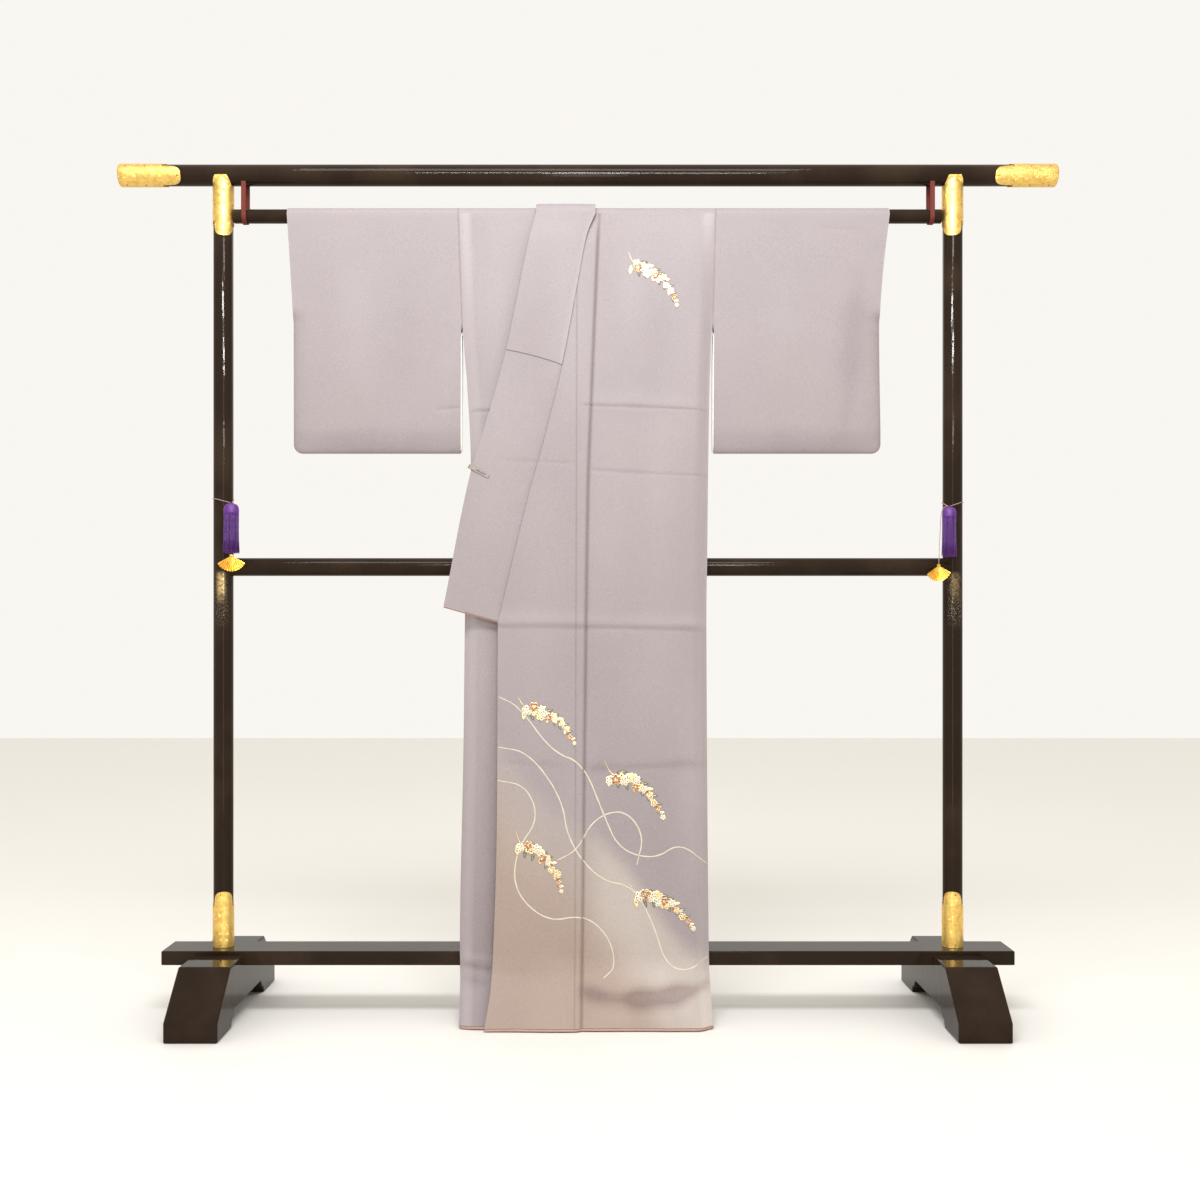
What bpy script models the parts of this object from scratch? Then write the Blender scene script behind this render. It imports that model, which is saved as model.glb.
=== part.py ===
"""A silk kimono hung open-sleeved on a black lacquered kimono stand.

Metres, +Z up, +X to the right of someone facing the garment's front, -Y towards them.
The origin is on the floor, midway between the stand's posts.  Left and right in the names of
the garment's pieces are the wearer's, so a piece named "left" lies at +X.

The garment is cut and sewn as the real one is: two body panels that each run in one length
from the front hem over the shoulder to the back hem, two overlap panels, a wide collar with
an over-collar, and two sleeves that each are one folded cloth.  A body panel is kept as two
solids, front and back, that meet along the shoulder's ridge.
"""

import math
from collections import namedtuple

import bmesh
import bpy
from mathutils import Matrix, Vector

# --------------------------------------------------------------------------- driving sizes

SEAM = 0.0003                    # gap kept between neighbouring solids

# Stand
POST_X = 0.729                   # post axes, each side of the middle
POST_RADIUS = 0.0195
TOP_RAIL_Z = 1.668
TOP_RAIL_RADIUS = 0.021
TOP_RAIL_HALF = 0.934
ROD_Z = 1.586                    # rod that the garment hangs on
ROD_RADIUS = 0.014
ROD_ENDS = (-0.707, 0.706)
MID_RAIL_Z = 0.885
MID_RAIL_RADIUS = 0.018
BASE_RAIL_SIZE = (1.68, 0.088, 0.028)
BASE_RAIL_BOTTOM = 0.099
BASE_RAIL_TOP = BASE_RAIL_BOTTOM + BASE_RAIL_SIZE[2]
STRAP_X = 0.685
STRAP_WIDTH = 0.0175
STRAP_WALL = 0.002
STRAP_STEPS = 10
GOLD_WALL = 0.0012
ROUND_SIDES = 24

# Feet, one outline pulled out sideways
FOOT_WIDTH = 0.100
FOOT_HALF_DEPTH = 0.225
FOOT_TOE_HEIGHT = 0.0375
FOOT_TOP = 0.118
FOOT_TOP_HALF = 0.133
FOOT_SOLE = 0.098                # length of each sole that meets the floor
FOOT_ARCH = 0.030
FOOT_ARCH_STEP = 0.014
FOOT_EDGE = 0.0035               # eased edges of the feet and of the base rail
RAIL_EDGE = 0.0025

# Tassels and fan pendants
TASSEL_LENGTH = 0.099
TASSEL_HEAD = 0.020
TASSEL_GRID = 6                  # locks across, so 36 locks a tassel
FAN_RADIUS = 0.031
FAN_SPREAD = math.radians(124)
FAN_THICK = 0.0016
FAN_RIBS = 12
FAN_SCALLOP = 0.97               # reach of the edge between two ribs
FAN_HEAD = ((0.0035, 0.0005), (0.0060, 0.0040), (-0.0060, 0.0040), (-0.0035, 0.0005))

# Cloth
CLOTH_WALL = 0.0016
COLLAR_WALL = 0.0020
OVER_COLLAR_WALL = 0.0014
LINING_WALL = 0.0010
HEM_ROLL_WALL = 0.0024
ROD_WRAP = 0.0155                # middle of the cloth's wall, from the rod's axis
COLLAR_WRAP = 0.0209
UNDER_COLLAR_WRAP = 0.0176
HEM_Z = 0.0060
FRONT_ROLL_Z = (0.0014, 0.0056)  # lower and upper edge of the lining's roll
BACK_ROLL_Z = (0.0014, 0.0049)
ARMHOLE_Z = 1.375                # lower end of the sleeve's seam to the body, and of the cuff
OVERLAP_TIP_Z = 1.4388           # where the overlap panel starts beside the collar
BACK_NECK_Z = 1.562
FOLD_HALF = 0.030                # half the width of the flat fold at the centre back
FOLD_PITCH = 0.0035              # from layer to layer in that fold
EDGE_BLEND = 0.028               # width over which front and back come together at a side
STEP_HEIGHT = 0.0045             # the left front's long soft ridge beside the overlap
STEP_WIDTH = 0.016
STEP_FADE = 0.06                 # height below the rod over which that ridge rises

Hang = namedtuple("Hang", "height front collar under under_collar back")
HANG = (                         # depth of the middle of each layer at the panel's middle
    Hang(0.0000, -0.1540, -0.1540, -0.1430, -0.1430, -0.1250),
    Hang(0.0600, -0.1010, -0.1010, -0.0900, -0.0900, -0.0720),
    Hang(0.0950, -0.0790, -0.0790, -0.0690, -0.0690, -0.0530),
    Hang(0.1300, -0.0720, -0.0720, -0.0630, -0.0630, -0.0480),
    Hang(0.3000, -0.0650, -0.0650, -0.0560, -0.0560, -0.0410),
    Hang(0.9000, -0.0460, -0.0460, -0.0370, -0.0370, -0.0214),
    Hang(1.3750, -0.0310, -0.0310, -0.0225, -0.0225, 0.0090),
    Hang(1.5000, -0.0250, -0.0250, -0.0175, -0.0175, 0.0145),
    Hang(1.5450, -0.0208, -0.0225, -0.0163, -0.0181, 0.0152),
    Hang(1.5860, -0.0155, -0.0209, -0.0155, -0.0176, 0.0155),
)

Side = namedtuple("Side", "height right left front back")
SIDES = (                        # side seams: where they run, and the depth of each edge
    Side(0.0000, -0.2450, 0.2380, -0.1370, -0.1325),
    Side(0.0600, -0.2480, 0.2376, -0.0820, -0.0780),
    Side(0.0950, -0.2500, 0.2372, -0.0590, -0.0550),
    Side(0.1556, -0.2512, 0.2366, -0.0515, -0.0480),
    Side(0.5430, -0.2453, 0.2345, -0.0370, -0.0336),
    Side(0.7900, -0.2433, 0.2342, -0.0282, -0.0248),
    Side(0.9000, -0.2395, 0.2361, -0.0250, -0.0216),
    Side(1.0790, -0.2325, 0.2385, -0.0205, -0.0165),
    Side(1.2520, -0.2370, 0.2420, -0.0155, -0.0090),
    Side(1.3400, -0.2466, 0.2456, -0.0135, 0.0060),
    Side(1.3750, -0.2508, 0.2490, -0.0130, 0.0105),
    Side(1.5860, -0.2583, 0.2542, -0.0155, 0.0155),
)

Edge = namedtuple("Edge", "height x")
COLLAR_FREE_EDGE = (Edge(0.806, -0.2829), Edge(1.067, -0.2312), Edge(1.135, -0.2103),
                    Edge(1.312, -0.1614), Edge(1.535, -0.1159), Edge(1.586, -0.1030))
COLLAR_SEAM = (Edge(0.7765, -0.1771), Edge(1.028, -0.1170), Edge(1.135, -0.0874),
               Edge(1.282, -0.0515), Edge(1.439, -0.0218), Edge(1.543, -0.0020),
               Edge(1.586, 0.0149))
OVERLAP_FREE_EDGE = (Edge(0.000, -0.1965), Edge(0.072, -0.1871), Edge(0.403, -0.1775),
                     Edge(0.7765, -0.1766))
OVERLAP_SEAM = (Edge(0.000, -0.0258), Edge(1.439, -0.0218))
LEFT_RIDGE = (Edge(0.000, -0.0150), Edge(0.620, -0.0078), Edge(1.040, -0.0020),
              Edge(1.200, 0.0040), Edge(1.586, 0.0200))
UNDER_SEAM_X = 0.0150            # the hidden right front: its overlap seam and free edge
UNDER_FREE_X = 0.1450
UNDER_COLLAR_SEAM = (Edge(0.7765, 0.1450), Edge(1.439, 0.0150), Edge(1.545, -0.0690),
                     Edge(1.586, -0.1010))
UNDER_COLLAR_FREE = (Edge(0.7765, 0.2040), Edge(1.200, 0.1250), Edge(1.439, 0.0700),
                     Edge(1.500, 0.0300), Edge(1.545, -0.0060), Edge(1.586, -0.0080))
OVER_COLLAR_END = (1.312, 1.282)  # its lower edge, at the free edge and at the seam
END_LINING_DROP = 0.0042         # how far the lining shows below the collar's end

Sleeve = namedtuple("Sleeve", "height right left")
SLEEVE_OUTER = (                 # the sleeves' outer edges
    Sleeve(1.1120, -0.5875, 0.5845), Sleeve(1.3750, -0.5877, 0.5812),
    Sleeve(1.4700, -0.5920, 0.5868), Sleeve(1.5860, -0.5990, 0.6000),
)
SLEEVE_INNER_LOW = {"right": -0.2522, "left": 0.2482}   # open inner edge at the bottom
SLEEVE_BOTTOM_Z = 1.1120
SLEEVE_CORNER = 0.018            # round of the outer bottom corner
SLEEVE_CLOSING = 0.040           # width over which front and back meet at the outer seam
SLEEVE_LINING_TOP = 1.350
SLEEVE_LINING_SPAN = (-0.0240, 0.0013)   # its edges, from the sleeve's inner edge

COLLAR_HEIGHTS = (0.7765, 0.900, 1.030, 1.135, 1.210, 1.282, 1.330, ARMHOLE_Z, 1.415,
                  OVERLAP_TIP_Z, 1.500, 1.545, 1.570, ROD_Z)
FRONT_HEIGHTS = (HEM_Z, 0.030, 0.060, 0.095, 0.130, 0.200, 0.350, 0.520, 0.680) + COLLAR_HEIGHTS
BACK_HEIGHTS = (BACK_NECK_Z, 1.530, 1.460, ARMHOLE_Z, 1.300, 1.200, 1.050, 0.900, 0.700,
                0.450, 0.250, 0.130, 0.095, 0.060, 0.030, HEM_Z)
WRAP_STEPS = 8                   # steps of each half turn over the rod
RIDGE_FLAT = 0.030               # last stretch before the shoulder's ridge, as a share
RIDGE_GAP = 0.0004

# Finishes: base colour, roughness, metallic
FINISHES = {
    "lacquer": ((0.018, 0.012, 0.010), 0.18, 0.0),
    "gold": ((0.85, 0.60, 0.20), 0.32, 1.0),
    "strap": ((0.36, 0.09, 0.07), 0.60, 0.0),
    "silk_mauve": ((0.56, 0.48, 0.50), 0.62, 0.0),
    "silk_white": ((0.85, 0.82, 0.76), 0.65, 0.0),
    "silk_russet": ((0.33, 0.16, 0.12), 0.65, 0.0),
    "silver": ((0.72, 0.70, 0.68), 0.35, 1.0),
    "tassel_purple": ((0.13, 0.02, 0.30), 0.55, 0.0),
    "string_pink": ((0.52, 0.36, 0.34), 0.70, 0.0),
}


# --------------------------------------------------------------------------- scene helpers

def clear_scene():
    """Remove every object, so that each run starts empty."""
    for item in list(bpy.data.objects):
        bpy.data.objects.remove(item, do_unlink=True)


def new_collection(name):
    """Make a collection and link it to the scene."""
    made = bpy.data.collections.new(name)
    bpy.context.scene.collection.children.link(made)
    return made


def new_finish(name):
    """Make the plain material of one finish."""
    colour, roughness, metallic = FINISHES[name]
    finish = bpy.data.materials.new(name)
    finish.use_nodes = True
    shader = finish.node_tree.nodes["Principled BSDF"]
    shader.inputs["Base Color"].default_value = (*colour, 1.0)
    shader.inputs["Roughness"].default_value = roughness
    shader.inputs["Metallic"].default_value = metallic
    finish.diffuse_color = (*colour, 1.0)
    return finish


def add_object(name, bm, finish, collection):
    """Turn a bmesh into a named object with its own material."""
    mesh = bpy.data.meshes.new(name)
    bm.to_mesh(mesh)
    bm.free()
    made = bpy.data.objects.new(name, mesh)
    mesh.materials.append(new_finish(finish))
    collection.objects.link(made)
    return made


def smooth_round(item, angle=40):
    """Shade an object smooth, but for edges sharper than the angle."""
    item.data.shade_smooth()
    item.data.set_sharp_from_angle(angle=math.radians(angle))


def add_bevel(item, width):
    """Ease an object's edges with one narrow flat."""
    bevel = item.modifiers.new("Bevel", "BEVEL")
    bevel.width = width
    bevel.segments = 1
    bevel.limit_method = "ANGLE"


def add_wall(item, wall):
    """Thicken an open surface into a closed wall, half to each side."""
    solidify = item.modifiers.new("Wall", "SOLIDIFY")
    solidify.thickness = wall
    solidify.offset = 0.0


def add_cut(item, cutter):
    """Cut one solid out of another."""
    cut = item.modifiers.new("Cut", "BOOLEAN")
    cut.operation = "DIFFERENCE"
    cut.solver = "EXACT"
    cut.object = cutter


def add_round_bar(name, radius, start, end, finish, collection, sides=ROUND_SIDES):
    """A round bar between two points, given along its axis."""
    bm = bmesh.new()
    start, end = Vector(start), Vector(end)
    length = (end - start).length
    turn = (end - start).to_track_quat("Z", "Y").to_matrix().to_4x4()
    place = Matrix.Translation((start + end) / 2) @ turn
    bmesh.ops.create_cone(bm, cap_ends=True, segments=sides, radius1=radius, radius2=radius,
                          depth=length, matrix=place)
    made = add_object(name, bm, finish, collection)
    smooth_round(made)
    return made


def as_cutter(item):
    """Show an object as a wire guide that isn't part of the model."""
    item.hide_render = True
    item.display_type = "WIRE"
    return item


# --------------------------------------------------------------------------- reading tables

def read_table(table, column, at):
    """Read one column of a table as a smooth curve through its rows, without overshoot."""
    rows = [(row[0], getattr(row, column)) for row in table]
    if at <= rows[0][0]:
        return rows[0][1]
    if at >= rows[-1][0]:
        return rows[-1][1]
    slopes = [(b[1] - a[1]) / (b[0] - a[0]) for a, b in zip(rows, rows[1:])]
    k = next(i for i in range(len(slopes)) if at <= rows[i + 1][0])

    def tangent(i):
        if i == 0 or i == len(slopes):
            return slopes[min(i, len(slopes) - 1)]
        before, after = slopes[i - 1], slopes[i]
        if before * after <= 0.0:
            return 0.0
        return 2.0 * before * after / (before + after)

    (x0, y0), (x1, y1) = rows[k], rows[k + 1]
    width = x1 - x0
    t = (at - x0) / width
    return ((2 * t ** 3 - 3 * t ** 2 + 1) * y0 + (t ** 3 - 2 * t ** 2 + t) * width * tangent(k)
            + (3 * t ** 2 - 2 * t ** 3) * y1 + (t ** 3 - t ** 2) * width * tangent(k + 1))


def ease(value):
    """A smooth step from 0 to 1."""
    value = min(max(value, 0.0), 1.0)
    return value * value * (3.0 - 2.0 * value)


def mix(a, b, share):
    """The value that lies the given share of the way from a to b."""
    return a + (b - a) * share


# --------------------------------------------------------------------------- cloth surfaces

def sheet(name, columns, rows, point_at, wall, finish, collection, keep=None, weld=False):
    """A cloth panel: a grid whose points follow a function, thickened into a wall.

    point_at(i, j) gives the place of column i and row j.  keep(i, j) says whether the cell
    that starts there is cloth.  weld joins the grid's points where they coincide.
    """
    bm = bmesh.new()
    bmesh.ops.create_grid(bm, x_segments=columns, y_segments=rows, size=0.5)
    places = {vert: (round((vert.co.x + 0.5) * columns), round((vert.co.y + 0.5) * rows))
              for vert in bm.verts}
    if keep is not None:
        unwanted = [face for face in bm.faces
                    if not keep(*[min(places[vert][axis] for vert in face.verts)
                                  for axis in (0, 1)])]
        bmesh.ops.delete(bm, geom=unwanted, context="FACES")
    for vert in bm.verts:
        vert.co = point_at(*places[vert])
    if weld:
        bmesh.ops.remove_doubles(bm, verts=bm.verts[:], dist=0.00002)
    made = add_object(name, bm, finish, collection)
    made.data.shade_smooth()
    add_wall(made, wall)
    return made


def side_x(side, height):
    """Where a body panel's outer edge runs; beside the sleeve it is straight."""
    if height > ARMHOLE_Z:
        share = (height - ARMHOLE_Z) / (ROD_Z - ARMHOLE_Z)
        return mix(read_table(SIDES, side, ARMHOLE_Z), read_table(SIDES, side, ROD_Z), share)
    return read_table(SIDES, side, height)


def wrap_point(x, radius, share):
    """A point on the half turn over the rod, from its front (0) to its back (1)."""
    angle = math.pi * share
    return Vector((x, -radius * math.cos(angle), ROD_Z + radius * math.sin(angle)))


def layer_depth(layer, x, height):
    """Depth of the middle of a layer's wall at a place on the garment."""
    depth = read_table(HANG, layer, height)
    left = side_x("left", height)
    right = side_x("right", height)
    if layer in ("front", "collar"):
        ridge = read_table(LEFT_RIDGE, "x", height)
        fade = ease((ROD_Z - height) / STEP_FADE)
        depth -= STEP_HEIGHT * fade * (1.0 - ease((x - ridge) / STEP_WIDTH + 0.5))
    if layer == "front":
        share = 1.0 - ease((left - x) / EDGE_BLEND)
        return mix(depth, read_table(SIDES, "front", height), share)
    if layer == "under":
        share = 1.0 - ease((x - right) / EDGE_BLEND)
        return mix(depth, read_table(SIDES, "front", height), share)
    if layer == "back":
        share = 1.0 - ease(min(left - x, x - right) / EDGE_BLEND)
        return mix(depth, read_table(SIDES, "back", height), share)
    return depth


def body_rows():
    """The rows of a body panel's halves: up to the shoulder's ridge, and down from it."""
    gap = RIDGE_GAP / 2 / (math.pi * ROD_WRAP)
    rising = [step / WRAP_STEPS for step in range(1, WRAP_STEPS // 2)]
    rising += [0.5 - RIDGE_FLAT, 0.5 - gap]
    front = [("front", height) for height in FRONT_HEIGHTS]
    front += [("over", share) for share in rising]
    back = [("over", 1.0 - share) for share in reversed(rising)] + [("over", 1.0)]
    return front, back + [("back", height) for height in BACK_HEIGHTS]


FRONT_ROWS, BACK_ROWS = body_rows()
BODY_COLUMNS = 8                 # columns from the side seam to the front edge
SIDE_INSETS = (0.000, 0.007, EDGE_BLEND)   # the first columns, as distances from the side
FOLD_ARC_STEPS = 3


def body_column_x(side, edge, column, last=BODY_COLUMNS):
    """Spread a panel's columns: three close to its side, the rest evenly to its edge."""
    toward = 1.0 if edge > side else -1.0
    if column < len(SIDE_INSETS):
        return side + toward * SIDE_INSETS[column]
    start = side + toward * SIDE_INSETS[-1]
    first = len(SIDE_INSETS) - 1
    return mix(start, edge, (column - first) / (last - first))


# ---- left body panel, which lies on top

def left_front_edge(height):
    """The left front's inner edge: the collar's seam, then the overlap's seam."""
    if height >= OVERLAP_TIP_Z:
        return read_table(COLLAR_SEAM, "x", height) + SEAM / 2
    return read_table(OVERLAP_SEAM, "x", height) + SEAM / 2


def left_front_x(column, height):
    """Where a column of the left front runs: two columns follow the ridge's slope."""
    edge = left_front_edge(height)
    foot = read_table(LEFT_RIDGE, "x", height) + STEP_WIDTH / 2
    crest = max(foot - STEP_WIDTH, mix(edge, foot, 0.4))
    if column == BODY_COLUMNS:
        return edge
    if column == BODY_COLUMNS - 1:
        return crest
    return body_column_x(side_x("left", height), foot, column, BODY_COLUMNS - 2)


def fold_points(sign):
    """Columns of the centre-back fold past the neck: place across, and layers in depth."""
    turn = FOLD_PITCH / 2
    reach = FOLD_HALF - turn
    arc = [(-sign * (reach + turn * math.sin(math.pi * k / FOLD_ARC_STEPS)),
            (1.0 - math.cos(math.pi * k / FOLD_ARC_STEPS)) / 2)
           for k in range(FOLD_ARC_STEPS + 1)]
    return arc + [(-sign * SEAM / 2, 1.0)]


LEFT_FOLD = fold_points(1)
RIGHT_FOLD = [(-0.045, 0.0)] + fold_points(-1)   # one more column leads in to the fold
DIVE_START, DIVE_WIDTH = -0.120, 0.070           # where the right back goes under the fold


def left_body_point(column, place):
    """A point of the left body panel, in a row given by its kind and value."""
    kind, value = place
    neck_x = COLLAR_SEAM[-1].x + SEAM / 2
    capped = min(column, BODY_COLUMNS)
    if kind == "front":
        x = left_front_x(capped, value)
        return Vector((x, layer_depth("front", x, value), value))
    if kind == "over":
        behind = body_column_x(side_x("left", ROD_Z), neck_x, capped)
        return wrap_point(mix(left_front_x(capped, ROD_Z), behind, value), ROD_WRAP, value)
    if column <= BODY_COLUMNS:
        x = body_column_x(side_x("left", value), neck_x, column)
        return Vector((x, layer_depth("back", x, value), value))
    x, layers = LEFT_FOLD[column - BODY_COLUMNS - 1]
    return Vector((x, layer_depth("back", x, value) - layers * FOLD_PITCH, value))


# ---- right body panel, which lies under the left one

def right_front_edge(height):
    """The right front's inner edge: the collar's seam, then the overlap's seam."""
    if height >= OVERLAP_TIP_Z:
        return read_table(UNDER_COLLAR_SEAM, "x", height) - SEAM / 2
    return UNDER_SEAM_X - SEAM / 2


def right_back_depth(x, height):
    """Depth of the right back panel, which runs under the fold towards the middle."""
    under = ease((x - DIVE_START) / DIVE_WIDTH) * ease((ROD_Z - height) / (ROD_Z - BACK_NECK_Z))
    return layer_depth("back", x, height) - 2.0 * FOLD_PITCH * under


def right_body_point(column, place):
    """A point of the right body panel, in a row given by its kind and value."""
    kind, value = place
    neck_x = UNDER_COLLAR_SEAM[-1].x - SEAM / 2
    capped = min(column, BODY_COLUMNS)
    if kind == "front":
        x = body_column_x(side_x("right", value), right_front_edge(value), capped)
        return Vector((x, layer_depth("under", x, value), value))
    if kind == "over":
        return wrap_point(body_column_x(side_x("right", ROD_Z), neck_x, capped), ROD_WRAP,
                          value)
    if column <= BODY_COLUMNS:
        x = body_column_x(side_x("right", value), neck_x, column)
        return Vector((x, right_back_depth(x, value), value))
    x, layers = RIGHT_FOLD[column - BODY_COLUMNS - 1]
    return Vector((x, right_back_depth(x, value) + layers * FOLD_PITCH, value))


def build_body(collection):
    """The two body panels, each in two solids that meet along the shoulder's ridge."""
    def below_neck(column, row):
        return column < BODY_COLUMNS or BACK_ROWS[row][0] == "back"

    for name, point_at, fold in (("body_left", left_body_point, LEFT_FOLD),
                                 ("body_right", right_body_point, RIGHT_FOLD)):
        sheet(name + "_front", BODY_COLUMNS, len(FRONT_ROWS) - 1,
              lambda i, j, at=point_at: at(i, FRONT_ROWS[j]), CLOTH_WALL, "silk_mauve",
              collection)
        sheet(name + "_back", BODY_COLUMNS + len(fold), len(BACK_ROWS) - 1,
              lambda i, j, at=point_at: at(i, BACK_ROWS[j]), CLOTH_WALL, "silk_mauve",
              collection, keep=below_neck)


# ---- overlap panels

OVERLAP_COLUMNS = 4
OVERLAP_HEIGHTS = tuple(height for height in FRONT_HEIGHTS if height < OVERLAP_TIP_Z)


def left_overlap_point(column, row):
    """A point of the left overlap, between the free edge or collar and its seam."""
    height = OVERLAP_HEIGHTS[row]
    if height > COLLAR_SEAM[0].height:
        outer = read_table(COLLAR_SEAM, "x", height) + SEAM / 2
    else:
        outer = read_table(OVERLAP_FREE_EDGE, "x", height)
    seam = read_table(OVERLAP_SEAM, "x", height) - SEAM / 2
    x = mix(outer, seam, column / OVERLAP_COLUMNS)
    return Vector((x, layer_depth("front", x, height), height))


def right_overlap_point(column, row):
    """A point of the right overlap, hidden under the left front."""
    height = OVERLAP_HEIGHTS[row]
    outer = UNDER_FREE_X
    if height > UNDER_COLLAR_SEAM[0].height:
        outer = read_table(UNDER_COLLAR_SEAM, "x", height) - SEAM / 2
    x = mix(UNDER_SEAM_X + SEAM / 2, outer, column / OVERLAP_COLUMNS)
    return Vector((x, layer_depth("under", x, height), height))


def build_overlaps(collection):
    """The two overlap panels."""
    rows = len(OVERLAP_HEIGHTS) - 1
    sheet("overlap_left", OVERLAP_COLUMNS, rows, left_overlap_point, CLOTH_WALL,
          "silk_mauve", collection)
    sheet("overlap_right", OVERLAP_COLUMNS, rows, right_overlap_point, CLOTH_WALL,
          "silk_mauve", collection)


# ---- collar

COLLAR_COLUMNS = 4
COLLAR_BACK_HEIGHTS = (1.565, 1.543)


def strip_rows(heights):
    """Rows of a collar strip: up the front, over the rod, and down behind the neck."""
    front = [("front", height) for height in heights]
    over = [("over", step / WRAP_STEPS) for step in range(1, WRAP_STEPS + 1)]
    return front + over + [("back", height) for height in COLLAR_BACK_HEIGHTS]


def collar_free_height(seam_height):
    """Height on the collar's free edge of the row that meets the seam at seam_height."""
    if seam_height == OVER_COLLAR_END[1]:
        return OVER_COLLAR_END[0]
    low, start = COLLAR_FREE_EDGE[0].height, COLLAR_SEAM[0].height
    return mix(low, ROD_Z, (seam_height - start) / (ROD_Z - start))


def collar_point(column, rows, row, lift=0.0):
    """A point of the left collar, moved out from its middle by lift."""
    kind, value = rows[row]
    share = column / COLLAR_COLUMNS
    radius = COLLAR_WRAP + lift
    free_top = COLLAR_FREE_EDGE[-1].x
    seam_top = COLLAR_SEAM[-1].x - SEAM / 2
    if kind == "over":
        return wrap_point(mix(free_top, seam_top, share), radius, value)
    if kind == "back":
        return Vector((mix(free_top, seam_top, share), radius, value))
    free_z = collar_free_height(value)
    x = mix(read_table(COLLAR_FREE_EDGE, "x", free_z),
            read_table(COLLAR_SEAM, "x", value) - SEAM / 2, share)
    height = mix(free_z, value, share)
    return Vector((x, layer_depth("collar", x, height) - lift, height))


def under_collar_point(column, rows, row):
    """A point of the right collar, folded narrow under the left front."""
    kind, value = rows[row]
    share = column / COLLAR_COLUMNS
    seam_top = UNDER_COLLAR_SEAM[-1].x + SEAM / 2
    free_top = UNDER_COLLAR_FREE[-1].x
    if kind == "over":
        return wrap_point(mix(seam_top, free_top, share), UNDER_COLLAR_WRAP, value)
    if kind == "back":
        return Vector((mix(seam_top, free_top, share), UNDER_COLLAR_WRAP, value))
    x = mix(read_table(UNDER_COLLAR_SEAM, "x", value) + SEAM / 2,
            read_table(UNDER_COLLAR_FREE, "x", value), share)
    return Vector((x, layer_depth("under_collar", x, value), value))


def build_collar(collection):
    """The collar in its two lengths, the over-collar on the left one, and its end's lining."""
    rows = strip_rows(COLLAR_HEIGHTS)
    over_rows = strip_rows([h for h in COLLAR_HEIGHTS if h >= OVER_COLLAR_END[1]])
    lift = (COLLAR_WALL + OVER_COLLAR_WALL) / 2 + SEAM
    sheet("collar_left", COLLAR_COLUMNS, len(rows) - 1,
          lambda i, j: collar_point(i, rows, j), COLLAR_WALL, "silk_mauve", collection)
    sheet("collar_right", COLLAR_COLUMNS, len(rows) - 1,
          lambda i, j: under_collar_point(i, rows, j), COLLAR_WALL, "silk_mauve", collection)
    sheet("over_collar", COLLAR_COLUMNS, len(over_rows) - 1,
          lambda i, j: collar_point(i, over_rows, j, lift),
          OVER_COLLAR_WALL, "silk_mauve", collection)

    def end_point(column, row):
        drop = SEAM if row == 1 else END_LINING_DROP
        return collar_point(column, rows, 0) - Vector((0.0, 0.0, drop))

    sheet("collar_end_lining", COLLAR_COLUMNS, 1, end_point, COLLAR_WALL, "silk_russet",
          collection)


# ---- sleeves

SLEEVE_FRONT_HEIGHTS = (1.140, 1.200, 1.290, ARMHOLE_Z, 1.440, 1.520, ROD_Z)
SLEEVE_BACK_HEIGHTS = tuple(reversed(SLEEVE_FRONT_HEIGHTS[:-1]))
SLEEVE_WRAP_STEPS = 8
SLEEVE_FOLD_STEPS = 4
SLEEVE_INSETS = (0.000, 0.002, 0.006, 0.011, SLEEVE_CORNER, SLEEVE_CLOSING, 0.110, 0.190,
                 0.270)          # columns, as distances in from the outer edge
SleeveDepth = namedtuple("SleeveDepth", "height front back")
SLEEVE_DEPTHS = (
    SleeveDepth(1.112, -0.0080, 0.0070), SleeveDepth(1.200, -0.0105, 0.0085),
    SleeveDepth(1.375, -0.0130, 0.0105), SleeveDepth(1.586, -0.0155, 0.0155),
)


def sleeve_rows():
    """Rows round a sleeve: up the front, over the rod, down the back, and along the fold."""
    front = [("front", height) for height in SLEEVE_FRONT_HEIGHTS]
    over = [("over", step / SLEEVE_WRAP_STEPS) for step in range(1, SLEEVE_WRAP_STEPS + 1)]
    back = [("back", height) for height in SLEEVE_BACK_HEIGHTS]
    fold = [("fold", step / SLEEVE_FOLD_STEPS) for step in range(1, SLEEVE_FOLD_STEPS)]
    return front + over + back + fold


SLEEVE_ROWS = sleeve_rows()


def sleeve_span(side, height):
    """The sleeve's outer and inner edge at a height."""
    outer = read_table(SLEEVE_OUTER, side, height)
    seam = side_x(side, max(height, ARMHOLE_Z)) + math.copysign(SEAM, outer)
    if height >= ARMHOLE_Z:
        return outer, seam
    share = (ARMHOLE_Z - height) / (ARMHOLE_Z - SLEEVE_BOTTOM_Z)
    return outer, mix(seam, SLEEVE_INNER_LOW[side], share)


def sleeve_lift(inset):
    """How far the rounded corner raises the bottom fold at a distance from the outer edge."""
    if inset >= SLEEVE_CORNER:
        return 0.0
    across = SLEEVE_CORNER - inset
    return SLEEVE_CORNER - math.sqrt(SLEEVE_CORNER ** 2 - across ** 2)


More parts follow.
